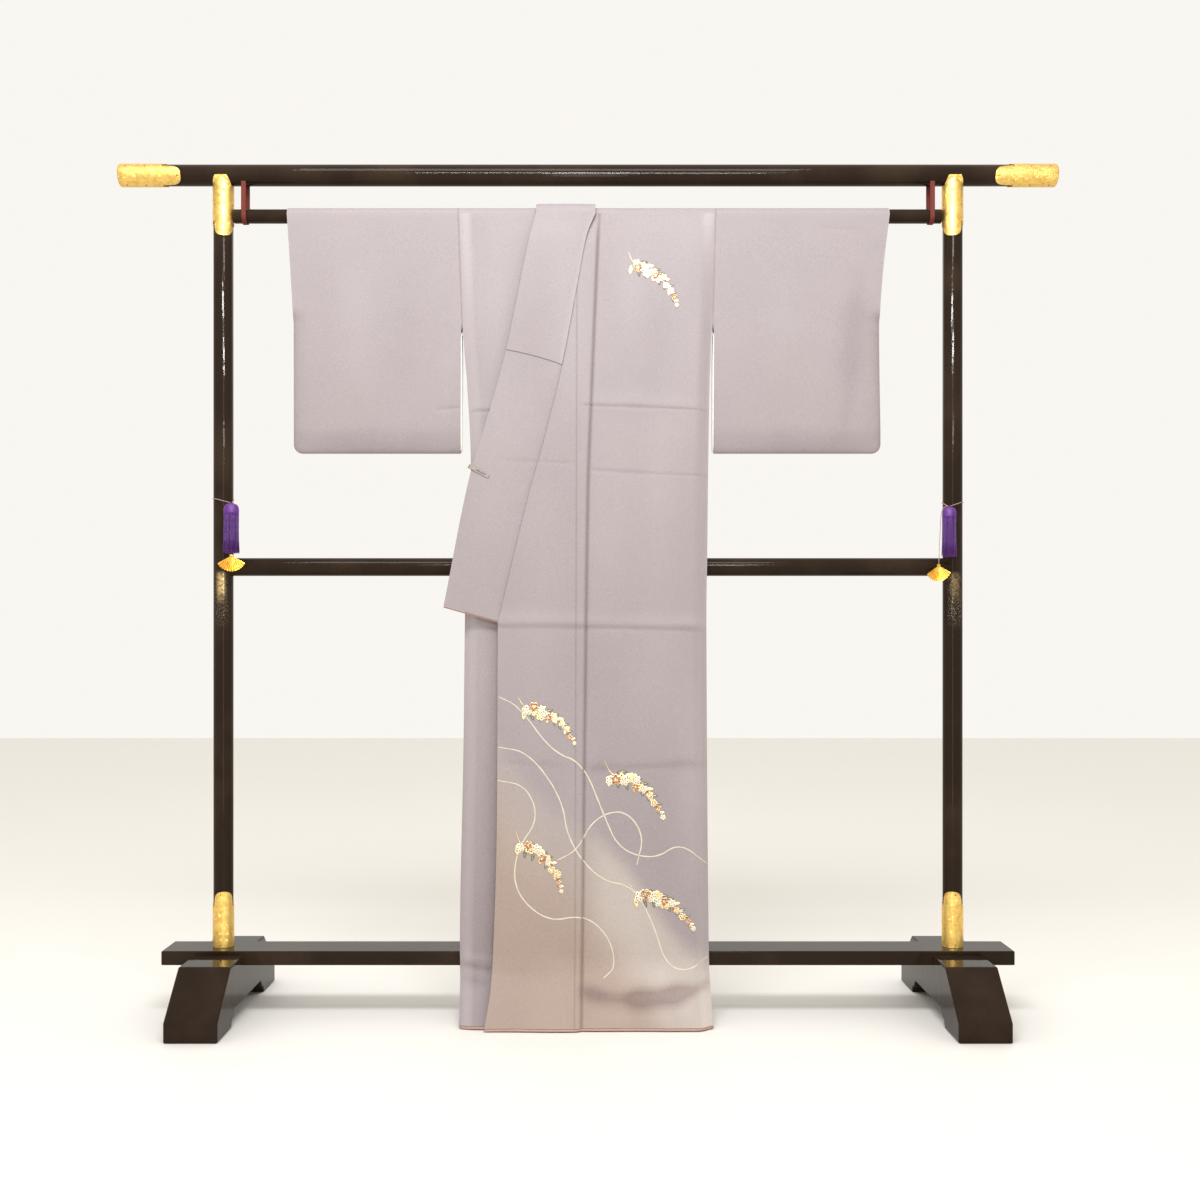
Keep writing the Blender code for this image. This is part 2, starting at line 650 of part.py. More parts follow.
def sleeve_section(inset, kind, value, shrink=0.0):
    """Depth and height of a sleeve's section; shrink moves it in from the cloth's middle."""
    lift = sleeve_lift(inset)
    if kind == "over":
        point = wrap_point(0.0, ROD_WRAP - shrink, value)
        return point.y, point.z
    low = SLEEVE_FRONT_HEIGHTS[0]
    height = low if kind == "fold" else value
    fade = ease((SLEEVE_FRONT_HEIGHTS[2] - height) / (SLEEVE_FRONT_HEIGHTS[2] - low))
    near = max(1.0 - inset / SLEEVE_CLOSING, 0.0) if height <= ARMHOLE_Z else 0.0
    closed = 1.0 - math.sqrt(1.0 - near ** 2)
    front = read_table(SLEEVE_DEPTHS, "front", height)
    back = read_table(SLEEVE_DEPTHS, "back", height)
    middle = (front + back) / 2
    half = (back - front) / 2 * (1.0 - closed) - shrink
    if kind == "fold":
        angle = math.pi * value
        drop = low - SLEEVE_BOTTOM_Z - 1.5 * shrink
        flat = 1.0 - closed
        return (middle + half * math.cos(angle),
                low + lift - drop * mix(1.0, math.sin(angle), flat))
    depth = middle - half if kind == "front" else middle + half
    return depth, height + lift * fade


def sleeve_point(side, column, row):
    """A point of a sleeve."""
    kind, value = SLEEVE_ROWS[row % len(SLEEVE_ROWS)]
    if column == len(SLEEVE_INSETS):
        inset = 1.0
    else:
        inset = SLEEVE_INSETS[column]
    depth, height = sleeve_section(inset, kind, value)
    outer, inner = sleeve_span(side, min(height, ROD_Z))
    toward = 1.0 if inner > outer else -1.0
    x = inner if column == len(SLEEVE_INSETS) else outer + toward * inset
    return Vector((x, depth, height))


def lining_rows():
    """Rows of a sleeve's lining: down its back, along the fold, and up its front."""
    first = SLEEVE_ROWS.index(("back", ARMHOLE_Z)) + 1
    last = SLEEVE_ROWS.index(("front", ARMHOLE_Z))
    return ([("back", SLEEVE_LINING_TOP)] + SLEEVE_ROWS[first:] + SLEEVE_ROWS[:last]
            + [("front", SLEEVE_LINING_TOP)])


LINING_ROWS = lining_rows()


def sleeve_lining_point(side, column, row):
    """A point of the lining that shows along a sleeve's open inner edge."""
    kind, value = LINING_ROWS[row]
    shrink = (CLOTH_WALL + LINING_WALL) / 2 + 3 * SEAM
    depth, height = sleeve_section(1.0, kind, value, shrink)
    outer, inner = sleeve_span(side, height)
    toward = 1.0 if inner > outer else -1.0
    return Vector((inner + toward * SLEEVE_LINING_SPAN[column], depth, height))


def build_sleeves(collection):
    """Both sleeves and the linings at their open inner edges."""
    for side in ("right", "left"):
        sheet("sleeve_" + side, len(SLEEVE_INSETS), len(SLEEVE_ROWS),
              lambda i, j, side=side: sleeve_point(side, i, j), CLOTH_WALL, "silk_mauve",
              collection, weld=True)
        sheet("sleeve_lining_" + side, 1, len(LINING_ROWS) - 1,
              lambda i, j, side=side: sleeve_lining_point(side, i, j), LINING_WALL,
              "silk_white", collection)


# ---- rolled lining edge along the hem

def build_hem_rolls(collection):
    """The lining's rolled edge, which shows below the hem of each panel."""
    def front_roll(layer, body_point, overlap_point):
        places = [body_point(column, FRONT_ROWS[0]).x for column in range(BODY_COLUMNS + 1)]
        places += [overlap_point(column, 0).x for column in range(OVERLAP_COLUMNS + 1)]
        places = sorted(set(places))

        def point_at(column, row):
            x, height = places[column], FRONT_ROLL_Z[row]
            return Vector((x, layer_depth(layer, x, height), height))
        return len(places) - 1, point_at

    def back_roll(body_point):
        def point_at(column, row):
            point = body_point(column, BACK_ROWS[-1])
            height = BACK_ROLL_Z[row]
            slope = layer_depth("back", point.x, height) - layer_depth("back", point.x, HEM_Z)
            return Vector((point.x, point.y + slope, height))
        return point_at

    for side, layer, body_point, overlap_point in (
            ("left", "front", left_body_point, left_overlap_point),
            ("right", "under", right_body_point, right_overlap_point)):
        columns, point_at = front_roll(layer, body_point, overlap_point)
        sheet("hem_roll_" + side + "_front", columns, 1, point_at, HEM_ROLL_WALL,
              "silk_russet", collection)
    sheet("hem_roll_left_back", BODY_COLUMNS + len(LEFT_FOLD), 1,
          back_roll(left_body_point), CLOTH_WALL, "silk_russet", collection)
    sheet("hem_roll_right_back", BODY_COLUMNS + len(RIGHT_FOLD), 1,
          back_roll(right_body_point), CLOTH_WALL, "silk_russet", collection)


# ---- clip on the collar's free edge

CLIP_PLACE = (-0.2345, 1.0815)   # outer end of its middle line
CLIP_LENGTH = 0.045
CLIP_HEIGHT = 0.008
CLIP_TILT = math.radians(-29)
CLIP_WALL = 0.0010
CLIP_TURN_STEPS = 4


def build_clip(collection):
    """A spring clip: a narrow strip bent round the collar's free edge."""
    half = COLLAR_WALL / 2 + SEAM + CLIP_WALL / 2
    turn = [(half * (1.0 - math.sin(math.pi * k / CLIP_TURN_STEPS)),
             -half * math.cos(math.pi * k / CLIP_TURN_STEPS))
            for k in range(CLIP_TURN_STEPS + 1)]
    path = [(CLIP_LENGTH, -half)] + turn + [(CLIP_LENGTH, half)]
    along = Vector((math.cos(CLIP_TILT), 0.0, math.sin(CLIP_TILT)))
    across = Vector((-along.z, 0.0, along.x))

    def point_at(column, row):
        distance, depth = path[column]
        place = Vector((CLIP_PLACE[0], 0.0, CLIP_PLACE[1])) + along * distance
        place += across * CLIP_HEIGHT * (row - 0.5)
        place.y = layer_depth("collar", place.x, place.z) + depth
        return place

    sheet("collar_clip", len(path) - 1, 1, point_at, CLIP_WALL, "silver", collection)


# --------------------------------------------------------------------------- stand

def foot_outline():
    """Half the foot's side outline from the middle of the top down to the arch, as (y, z)."""
    return [
        (FOOT_TOP_HALF, FOOT_TOP),
        (FOOT_HALF_DEPTH, FOOT_TOE_HEIGHT), (FOOT_HALF_DEPTH, 0.0),
        (FOOT_HALF_DEPTH - FOOT_SOLE, 0.0),
        (FOOT_HALF_DEPTH - FOOT_SOLE - FOOT_ARCH_STEP / 2, FOOT_ARCH_STEP),
        (FOOT_HALF_DEPTH - FOOT_SOLE - FOOT_ARCH_STEP, FOOT_ARCH_STEP),
        (FOOT_HALF_DEPTH - FOOT_SOLE - 2 * FOOT_ARCH_STEP, FOOT_ARCH),
    ]


def build_feet(collection, cutters):
    """Two arched feet, each notched for the base rail."""
    bm = bmesh.new()
    bmesh.ops.create_cube(bm, size=1.0)
    length, depth, height = BASE_RAIL_SIZE
    bmesh.ops.scale(bm, verts=bm.verts[:], vec=(length, depth + 2 * SEAM, height + 2 * SEAM))
    notch = as_cutter(add_object("foot_notch", bm, "lacquer", cutters))
    notch.location.z = BASE_RAIL_BOTTOM + BASE_RAIL_SIZE[2] / 2
    half = foot_outline()
    outline = half + [(-y, z) for y, z in reversed(half)]
    for side, name in ((-1, "foot_right"), (1, "foot_left")):
        bm = bmesh.new()
        verts = [bm.verts.new((-FOOT_WIDTH / 2, y, z)) for y, z in outline]
        face = bm.faces.new(verts)
        pulled = bmesh.ops.extrude_face_region(bm, geom=[face])["geom"]
        moved = [item for item in pulled if isinstance(item, bmesh.types.BMVert)]
        bmesh.ops.translate(bm, verts=moved, vec=(FOOT_WIDTH, 0.0, 0.0))
        bmesh.ops.recalc_face_normals(bm, faces=bm.faces[:])
        made = add_object(name, bm, "lacquer", collection)
        made.location.x = side * POST_X
        add_bevel(made, FOOT_EDGE)
        add_cut(made, notch)


def build_rails(collection, cutters):
    """Base rail, posts, top rail, middle rail and the rod."""
    bm = bmesh.new()
    bmesh.ops.create_cube(bm, size=1.0)
    bmesh.ops.scale(bm, verts=bm.verts[:], vec=BASE_RAIL_SIZE)
    base = add_object("base_rail", bm, "lacquer", collection)
    base.location.z = BASE_RAIL_BOTTOM + BASE_RAIL_SIZE[2] / 2
    add_bevel(base, RAIL_EDGE)

    add_round_bar("top_rail", TOP_RAIL_RADIUS, (-TOP_RAIL_HALF, 0.0, TOP_RAIL_Z),
                  (TOP_RAIL_HALF, 0.0, TOP_RAIL_Z), "lacquer", collection)
    add_round_bar("hanging_rod", ROD_RADIUS, (ROD_ENDS[0], 0.0, ROD_Z),
                  (ROD_ENDS[1], 0.0, ROD_Z), "lacquer", collection)
    middle = add_round_bar("middle_rail", MID_RAIL_RADIUS, (-POST_X, 0.0, MID_RAIL_Z),
                           (POST_X, 0.0, MID_RAIL_Z), "lacquer", collection)
    rail_cutter = as_cutter(add_round_bar(
        "top_rail_space", TOP_RAIL_RADIUS + SEAM, (-TOP_RAIL_HALF, 0.0, TOP_RAIL_Z),
        (TOP_RAIL_HALF, 0.0, TOP_RAIL_Z), "lacquer", cutters))
    for side, name in ((-1, "post_right"), (1, "post_left")):
        x = side * POST_X
        post = add_round_bar(name, POST_RADIUS, (x, 0.0, BASE_RAIL_TOP + SEAM),
                             (x, 0.0, TOP_RAIL_Z - POST_RADIUS / 2), "lacquer", collection)
        add_cut(post, rail_cutter)
        space = as_cutter(add_round_bar(name + "_space", POST_RADIUS + SEAM,
                                        (x, 0.0, MID_RAIL_Z - 0.1),
                                        (x, 0.0, MID_RAIL_Z + 0.1), "lacquer", cutters))
        add_cut(middle, space)
    return rail_cutter


def build_straps(collection):
    """Two straps under the top rail, each a loop that holds the rod."""
    radius = ROD_RADIUS + SEAM + STRAP_WALL / 2
    top = TOP_RAIL_Z - math.sqrt(TOP_RAIL_RADIUS ** 2 - (ROD_RADIUS + SEAM) ** 2) - SEAM
    angles = [math.pi * step / STRAP_STEPS for step in range(STRAP_STEPS + 1)]
    turn = [(-radius * math.cos(angle), ROD_Z - radius * math.sin(angle)) for angle in angles]
    path = [(-radius, top)] + turn + [(radius, top)]
    for side, name in ((-1, "strap_right"), (1, "strap_left")):
        def point_at(column, row, side=side):
            depth, height = path[row]
            return Vector((side * STRAP_X + STRAP_WIDTH * (column - 0.5), depth, height))
        sheet(name, 1, len(path) - 1, point_at, STRAP_WALL, "strap", collection)


# ---- gold fittings

SHEATH_COLUMNS = 24
LOBE_HALF = math.radians(72)     # half the arc that a lobed end takes at front and back
LOBE_NOTCH = math.radians(84)
NOTCH_DEPTH = 0.22               # of a lobe's length


def lobe(angle):
    """Shape of a fitting's lobed end: 1 at the lobe's middle, 0 beside it, less in the nick."""
    away = abs(math.remainder(angle, math.pi))
    if away < LOBE_HALF:
        return math.sqrt(1.0 - (away / LOBE_HALF) ** 2)
    return -NOTCH_DEPTH if away < LOBE_NOTCH else 0.0


def build_sheath(name, rows, point_at, collection, keep=None):
    """A gold tube round a bar, from rows of points given by an angle round the bar."""
    def place(column, row):
        return point_at(2.0 * math.pi * column / SHEATH_COLUMNS, row)

    made = sheet(name, SHEATH_COLUMNS, rows, place, GOLD_WALL, "gold", collection, keep=keep,
                 weld=True)
    smooth_round(made, 50)
    return made


BASE_FITTING = (BASE_RAIL_TOP + SEAM, 0.214, 0.025)    # foot, shoulder, lobe
HEAD_FITTING = (1.567, 0.024)                          # shoulder and lobe of the lower end
TONGUE_TOP = 1.663
TONGUE_CELLS = 4                                       # to each side of the front
TONGUE_STEPS = 3
TONGUE_NARROWING = 0.35
PLAIN_BAND = 0.010               # plain stretch of a fitting before its lobed end
RAIL_FITTING = (0.841, 0.032)                          # shoulder and lobe, from the middle


def base_fitting_point(x, radius, angle, row):
    """A point of the fitting round a post's foot."""
    bottom, shoulder, reach = BASE_FITTING
    height = (bottom, shoulder - PLAIN_BAND, shoulder + reach * lobe(angle))[row]
    return Vector((x + radius * math.sin(angle), -radius * math.cos(angle), height))


def head_fitting_point(x, radius, angle, row):
    """A point of the fitting round a post's head; its front tongue laps the top rail."""
    shoulder, reach = HEAD_FITTING
    under_rail = TOP_RAIL_Z - TOP_RAIL_RADIUS - 3 * SEAM
    steps = [mix(under_rail, TONGUE_TOP, step / TONGUE_STEPS) for step in range(TONGUE_STEPS + 1)]
    height = ([shoulder - reach * lobe(angle), shoulder + PLAIN_BAND] + steps)[row]
    depth = radius * math.cos(angle)
    across = radius * math.sin(angle)
    if row > 2:
        clear = TOP_RAIL_RADIUS + SEAM + GOLD_WALL
        depth = max(depth, math.sqrt(clear ** 2 - (TOP_RAIL_Z - height) ** 2))
        across *= 1.0 - TONGUE_NARROWING * ((row - 2) / TONGUE_STEPS) ** 2
    return Vector((x + across, -depth, height))


def rail_fitting_point(side, radius, angle, row):
    """A point of the cap on an end of the top rail."""
    shoulder, reach = RAIL_FITTING
    rail_end = TOP_RAIL_HALF + SEAM + GOLD_WALL / 2
    along = (rail_end, rail_end, shoulder + PLAIN_BAND, shoulder - reach * lobe(angle))[row]
    out = 0.0 if row == 0 else radius
    return Vector((side * along, -out * math.cos(angle), TOP_RAIL_Z + out * math.sin(angle)))


def has_tongue(column, row):
    """The head fitting's upper rows are only there at its front."""
    return row < 2 or column < TONGUE_CELLS or column >= SHEATH_COLUMNS - TONGUE_CELLS


def build_fittings(collection):
    """Gold fittings on the posts' feet and heads and on the top rail's ends."""
    post_radius = POST_RADIUS + SEAM + GOLD_WALL / 2
    rail_radius = TOP_RAIL_RADIUS + SEAM + GOLD_WALL / 2
    for side, name in ((-1, "right"), (1, "left")):
        x = side * POST_X
        build_sheath("foot_fitting_" + name, 2,
                     lambda a, j, x=x: base_fitting_point(x, post_radius, a, j), collection)
        build_sheath("head_fitting_" + name, 2 + TONGUE_STEPS,
                     lambda a, j, x=x: head_fitting_point(x, post_radius, a, j), collection,
                     has_tongue)
        build_sheath("rail_fitting_" + name, 3,
                     lambda a, j, s=side: rail_fitting_point(s, rail_radius, a, j),
                     collection)


# ---- tassels, their strings and the fan pendants

Tassel = namedtuple("Tassel", "name x top radius post_x fan_shift fan_turn")
TASSELS = (
    Tassel("right", -0.7030, 1.0085, 0.0150, -POST_X, (0.0, 0.0, 0.0), 0.0),
    Tassel("left", 0.7120, 1.0015, 0.0138, POST_X, (-0.0215, -0.0035, -0.0130),
           math.radians(-48)),
)
TASSEL_Y = -0.0385
TASSEL_DOME = ((0.98, 0.008), (0.80, 0.008), (0.45, 0.004))   # narrowing and rise of each ring
LOCK_INSET = 0.00035             # leaves twice this between neighbouring locks
LOCK_FLARE = 0.06
LOCK_UNEVENNESS = 0.035
STRING_RADIUS = 0.0010
STRING_ARC_STEPS = 14
STRING_RISE = 0.006              # half of how far the string climbs towards the post's back
KNOT_SPREAD = 0.0016             # from the tassel's axis to each end of the string
HEAD_CLEARING = (                # out from the axis and up from the head's top, round the dome
    (0.0172, -0.0300), (0.0154, -0.0118), (0.0126, -0.0025), (0.0055, 0.0016),
)


def build_tassel(row, collection):
    """A tassel: a domed head whose underside is drawn out into separate locks."""
    bm = bmesh.new()
    bmesh.ops.create_grid(bm, x_segments=TASSEL_GRID, y_segments=TASSEL_GRID, size=1.0)
    for vert in bm.verts:
        x, y = vert.co.x, vert.co.y
        vert.co.x = row.radius * x * math.sqrt(1.0 - y * y / 2.0)
        vert.co.y = row.radius * y * math.sqrt(1.0 - x * x / 2.0)
    underside = bm.faces[:]
    rim = [edge for edge in bm.edges if edge.is_boundary]
    for narrow, rise in TASSEL_DOME:
        grown = bmesh.ops.extrude_edge_only(bm, edges=rim)["geom"]
        verts = [item for item in grown if isinstance(item, bmesh.types.BMVert)]
        rim = [item for item in grown if isinstance(item, bmesh.types.BMEdge)]
        for vert in verts:
            vert.co.x *= narrow
            vert.co.y *= narrow
            vert.co.z += rise
    bmesh.ops.contextual_create(bm, geom=rim)
    bmesh.ops.recalc_face_normals(bm, faces=bm.faces[:])
    bmesh.ops.inset_individual(bm, faces=underside, thickness=LOCK_INSET,
                                  use_even_offset=True)
    locks = bmesh.ops.extrude_discrete_faces(bm, faces=underside)["faces"]
    for count, face in enumerate(locks):
        middle = face.calc_center_median()
        shorter = LOCK_UNEVENNESS * (count * 7 % 5) / 4.0
        long_lock = (TASSEL_LENGTH - TASSEL_HEAD) * (1.0 - shorter)
        for vert in face.verts:
            vert.co.z -= long_lock
            vert.co.x += middle.x * LOCK_FLARE
            vert.co.y += middle.y * LOCK_FLARE
    made = add_object("tassel_" + row.name, bm, "tassel_purple", collection)
    made.location = (row.x, TASSEL_Y, row.top - TASSEL_HEAD)
    return made


def fan_place(row):
    """Where a fan's middle is, with its rivet just below the tassel or below its string."""
    rivet = Vector((row.x, TASSEL_Y, row.top - TASSEL_LENGTH - FAN_HEAD[1][1] - SEAM))
    return rivet + Vector(row.fan_shift)


def string_points(row):
    """The string from the tassel's head round the post and back, as a smooth loop.

    A fan that hangs beside its tassel has the loop's first end for its own string.
    """
    radius = POST_RADIUS + SEAM + STRING_RADIUS
    toward = Vector((row.x - row.post_x, TASSEL_Y))
    facing = math.atan2(toward.y, toward.x)
    half = math.acos(radius / toward.length)
    knot_z = row.top + STRING_RADIUS + SEAM
    first, last = [Vector((row.x + offset, TASSEL_Y, knot_z))
                   for offset in (-KNOT_SPREAD, KNOT_SPREAD)]
    points = []
    for step in range(STRING_ARC_STEPS + 1):
        angle = facing - half - (2.0 * math.pi - 2.0 * half) * step / STRING_ARC_STEPS
        rise = STRING_RISE * (1.0 - math.cos(angle - facing))
        points.append(Vector((row.post_x + radius * math.cos(angle),
                              radius * math.sin(angle), knot_z + rise)))
    hanging = []
    if any(row.fan_shift):
        hanging = [fan_place(row) + Vector((0.0, 0.0, FAN_HEAD[1][1] + SEAM))]
        hanging += [Vector((row.x - out, TASSEL_Y, row.top + rise))
                    for out, rise in HEAD_CLEARING]
    return hanging + [first] + points + [last]


def build_string(row, collection):
    """The thin string that ties a tassel to its post."""
    data = bpy.data.curves.new("tassel_string_" + row.name, "CURVE")
    data.dimensions = "3D"
    data.bevel_depth = STRING_RADIUS
    data.bevel_resolution = 2
    data.use_fill_caps = True
    points = string_points(row)
    spline = data.splines.new("POLY")
    spline.points.add(len(points) - 1)
    for spot, place in zip(spline.points, points):
        spot.co = (*place, 1.0)
    made = bpy.data.objects.new(data.name, data)
    data.materials.append(new_finish("string_pink"))
    collection.objects.link(made)


def build_fan(row, collection):
    """A fan pendant that hangs by its rivet from the tassel or from a string beside it."""
    bm = bmesh.new()
    start = -math.pi / 2 - FAN_SPREAD / 2
    outline = list(FAN_HEAD)
    for rib in range(2 * FAN_RIBS + 1):
        angle = start + FAN_SPREAD * rib / (2 * FAN_RIBS)
        reach = FAN_RADIUS * (1.0 if rib % 2 else FAN_SCALLOP)
        outline.append((reach * math.cos(angle), reach * math.sin(angle)))
    verts = [bm.verts.new((x, -FAN_THICK / 2, z)) for x, z in outline]
    face = bm.faces.new(verts)
    pulled = bmesh.ops.extrude_face_region(bm, geom=[face])["geom"]
    moved = [item for item in pulled if isinstance(item, bmesh.types.BMVert)]
    bmesh.ops.translate(bm, verts=moved, vec=(0.0, FAN_THICK, 0.0))
    bmesh.ops.recalc_face_normals(bm, faces=bm.faces[:])
    made = add_object("fan_" + row.name, bm, "gold", collection)
    made.location = fan_place(row)
    made.rotation_euler.z = row.fan_turn


def build_ornaments(collection):
    """Both tassels with their strings and fans."""
    for row in TASSELS:
        build_tassel(row, collection)
        build_string(row, collection)
        build_fan(row, collection)


# --------------------------------------------------------------------------- build

def main():
    """Build the garment and its stand."""
    clear_scene()
    kimono = new_collection("kimono_on_stand")
    cutters = new_collection("cutters")
    build_feet(kimono, cutters)
    build_rails(kimono, cutters)
    build_straps(kimono)
    build_fittings(kimono)
    build_ornaments(kimono)
    build_body(kimono)
    build_overlaps(kimono)
    build_collar(kimono)
    build_sleeves(kimono)
    build_hem_rolls(kimono)
    build_clip(kimono)


main()
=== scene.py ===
"""A silk kimono hung open-sleeved on a lacquered kimono stand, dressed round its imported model.

Metres, +Z up, -Y towards the viewer.  Left and right in the names of the garment's pieces are
the wearer's, so a piece named left lies at +X.
"""

from __future__ import annotations

import logging
import math
from dataclasses import dataclass, field
from enum import Enum
from typing import Callable, Mapping, Sequence

import bmesh
import bpy
import numpy as np
from mathutils import Matrix, Vector


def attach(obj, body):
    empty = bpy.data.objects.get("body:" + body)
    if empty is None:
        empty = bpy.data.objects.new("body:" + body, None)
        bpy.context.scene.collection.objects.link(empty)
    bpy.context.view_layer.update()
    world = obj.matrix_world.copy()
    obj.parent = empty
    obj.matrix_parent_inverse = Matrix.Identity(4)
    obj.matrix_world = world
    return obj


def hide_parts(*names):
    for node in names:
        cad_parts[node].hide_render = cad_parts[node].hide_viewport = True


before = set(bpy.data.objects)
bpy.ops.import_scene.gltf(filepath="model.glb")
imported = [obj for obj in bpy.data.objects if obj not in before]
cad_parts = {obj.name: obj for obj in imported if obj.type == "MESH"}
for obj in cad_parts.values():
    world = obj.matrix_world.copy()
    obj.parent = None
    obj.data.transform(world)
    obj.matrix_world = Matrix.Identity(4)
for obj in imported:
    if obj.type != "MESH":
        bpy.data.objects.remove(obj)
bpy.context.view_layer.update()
LOG = logging.getLogger("kimono")
BODY = "root"

Values = np.ndarray
Colour = tuple[float, float, float]
Piece = bpy.types.Object
Finish = bpy.types.Material
TURN = 2.0 * math.pi


# ------------------------------------------------------------------ values and smooth curves

def ease(share: Values | float) -> Values:
    """Turn a share into a smooth step from 0 to 1, level past both ends."""
    held = np.clip(share, 0.0, 1.0)
    return held * held * (3.0 - 2.0 * held)


def between(first: Values | float, last: Values | float, share: Values | float) -> Values:
    """Find what lies a share of the way from one value to another."""
    return first + (last - first) * share


def hump(distance: Values, width: float) -> Values:
    """Find a smooth hump's height: 1 at its middle, and 0 some widths away."""
    return np.exp(-(distance / width) ** 2)


def graded(low: float, high: float, step: float, fine_at: Sequence[float] = (),
           reach: float = 0.012, fine_step: float = 0.002) -> Values:
    """Space values evenly, with closer ones round some places.

    Args:
        low: The first value.
        high: The last value.
        step: The widest step.
        fine_at: The places that need closer values.
        reach: How far to each side of a place those run.
        fine_step: Their step.

    Returns:
        The values in rising order.
    """
    spread = [np.linspace(low, high, max(2, math.ceil((high - low) / step) + 1))]
    spread += [np.arange(place - reach, place + reach, fine_step) for place in fine_at]
    merged = np.unique(np.round(np.concatenate(spread), 6))
    kept = [low]
    for value in merged[(merged > low) & (merged < high)]:
        if value - kept[-1] > 0.45 * fine_step and high - value > 0.45 * fine_step:
            kept.append(float(value))
    return np.array(kept + [high])


@dataclass(frozen=True)
class Track:
    """A smooth line through the rows of a table, which never overshoots them."""

    places: tuple[float, ...]
    values: tuple[float, ...]

    def __call__(self, where: Values | float) -> Values:
        """Read the line.

        Args:
            where: The places to read it at; past an end it stays level.

        Returns:
            The values there.
        """
        places, values = np.array(self.places), np.array(self.values)
        slopes = np.diff(values) / np.diff(places)
        before, after = slopes[:-1], slopes[1:]
        same_way = before * after > 0.0
        total = np.where(same_way, before + after, 1.0)
        middle = np.where(same_way, 2.0 * before * after / total, 0.0)
        tangents = np.concatenate(([slopes[0]], middle, [slopes[-1]]))
        where = np.clip(where, places[0], places[-1])
        k = np.clip(np.searchsorted(places, where) - 1, 0, len(slopes) - 1)
        width = places[k + 1] - places[k]
        t = (where - places[k]) / width
        return ((2 * t ** 3 - 3 * t ** 2 + 1) * values[k]
                + (t ** 3 - 2 * t ** 2 + t) * width * tangents[k]
                + (3 * t ** 2 - 2 * t ** 3) * values[k + 1]
                + (t ** 3 - t ** 2) * width * tangents[k + 1])


def line(places: Sequence[float], values: Sequence[float]) -> Track:
    """Draw a smooth line through places and values in millimetres."""
    return Track(tuple(p / 1000.0 for p in places), tuple(v / 1000.0 for v in values))


def tracks(columns: Sequence[str], *rows: Sequence[float]) -> dict[str, Track]:
    """Draw a table in millimetres as lines by column; the first column holds the places."""
    turned = list(zip(*rows))
    return {name: line(turned[0], turned[i]) for i, name in enumerate(columns) if i}


def darker(colour: Colour, share: float) -> Colour:
    """Take a share of a colour."""
    return tuple(share * part for part in colour)


def tube_faces(first: int, rings: int, sides: int) -> list[list[int]]:
    """Number the faces of a tube whose points run ring by ring, both ends closed.

    Args:
        first: The number of its first point.
        rings: How many rings it has.
        sides: How many points a ring has.

    Returns:
        The faces, as point numbers.
    """
    last = first + (rings - 1) * sides
    faces = [[low + k, low + (k + 1) % sides, low + sides + (k + 1) % sides, low + sides + k]
             for low in range(first, last, sides) for k in range(sides)]
    return faces + [list(range(first, first + sides))[::-1], list(range(last, last + sides))]


# ------------------------------------------------------------------ finishes

@dataclass(frozen=True, eq=False)
class Signal:
    """A value that runs through a finish's nodes and takes plain arithmetic."""

    nodes: FinishNodes
    socket: bpy.types.NodeSocket

    def _math(self, kind: str, *values: Signal | float) -> Signal:
        """Add a Math node of one kind, with its inputs in order."""
        return self.nodes.add("ShaderNodeMath", {"operation": kind}, dict(enumerate(values)))

    def __add__(self, other: Signal | float) -> Signal:
        """Add."""
        return self._math("ADD", self, other)

    def __radd__(self, other: float) -> Signal:
        """Add to a number."""
        return self._math("ADD", other, self)

    def __sub__(self, other: Signal | float) -> Signal:
        """Subtract."""
        return self._math("SUBTRACT", self, other)

    def __rsub__(self, other: float) -> Signal:
        """Subtract from a number."""
        return self._math("SUBTRACT", other, self)

    def __mul__(self, other: Signal | float) -> Signal:
        """Multiply."""
        return self._math("MULTIPLY", self, other)

    def __rmul__(self, other: float) -> Signal:
        """Multiply a number."""
        return self._math("MULTIPLY", other, self)

    def __truediv__(self, other: Signal | float) -> Signal:
        """Divide."""
        return self._math("DIVIDE", self, other)

    def size(self) -> Signal:
        """Drop the sign."""
        return self._math("ABSOLUTE", self)

    def wave(self) -> Signal:
        """Take the sine."""
        return self._math("SINE", self)

    def least(self, other: Signal | float) -> Signal:
        """Take the smaller of two."""
        return self._math("MINIMUM", self, other)

    def step(self, low: float, high: float) -> Signal:
        """Turn into a smooth step.

        Args:
            low: Where the step leaves 0.
            high: Where it reaches 1; below low, the step falls instead.

        Returns:
            The step, from 0 to 1.
        """
        if high < low:
            return 1.0 - self.step(high, low)
        return self.nodes.add("ShaderNodeMapRange", {"interpolation_type": "SMOOTHSTEP"},
                              {"Value": self, "From Min": low, "From Max": high})


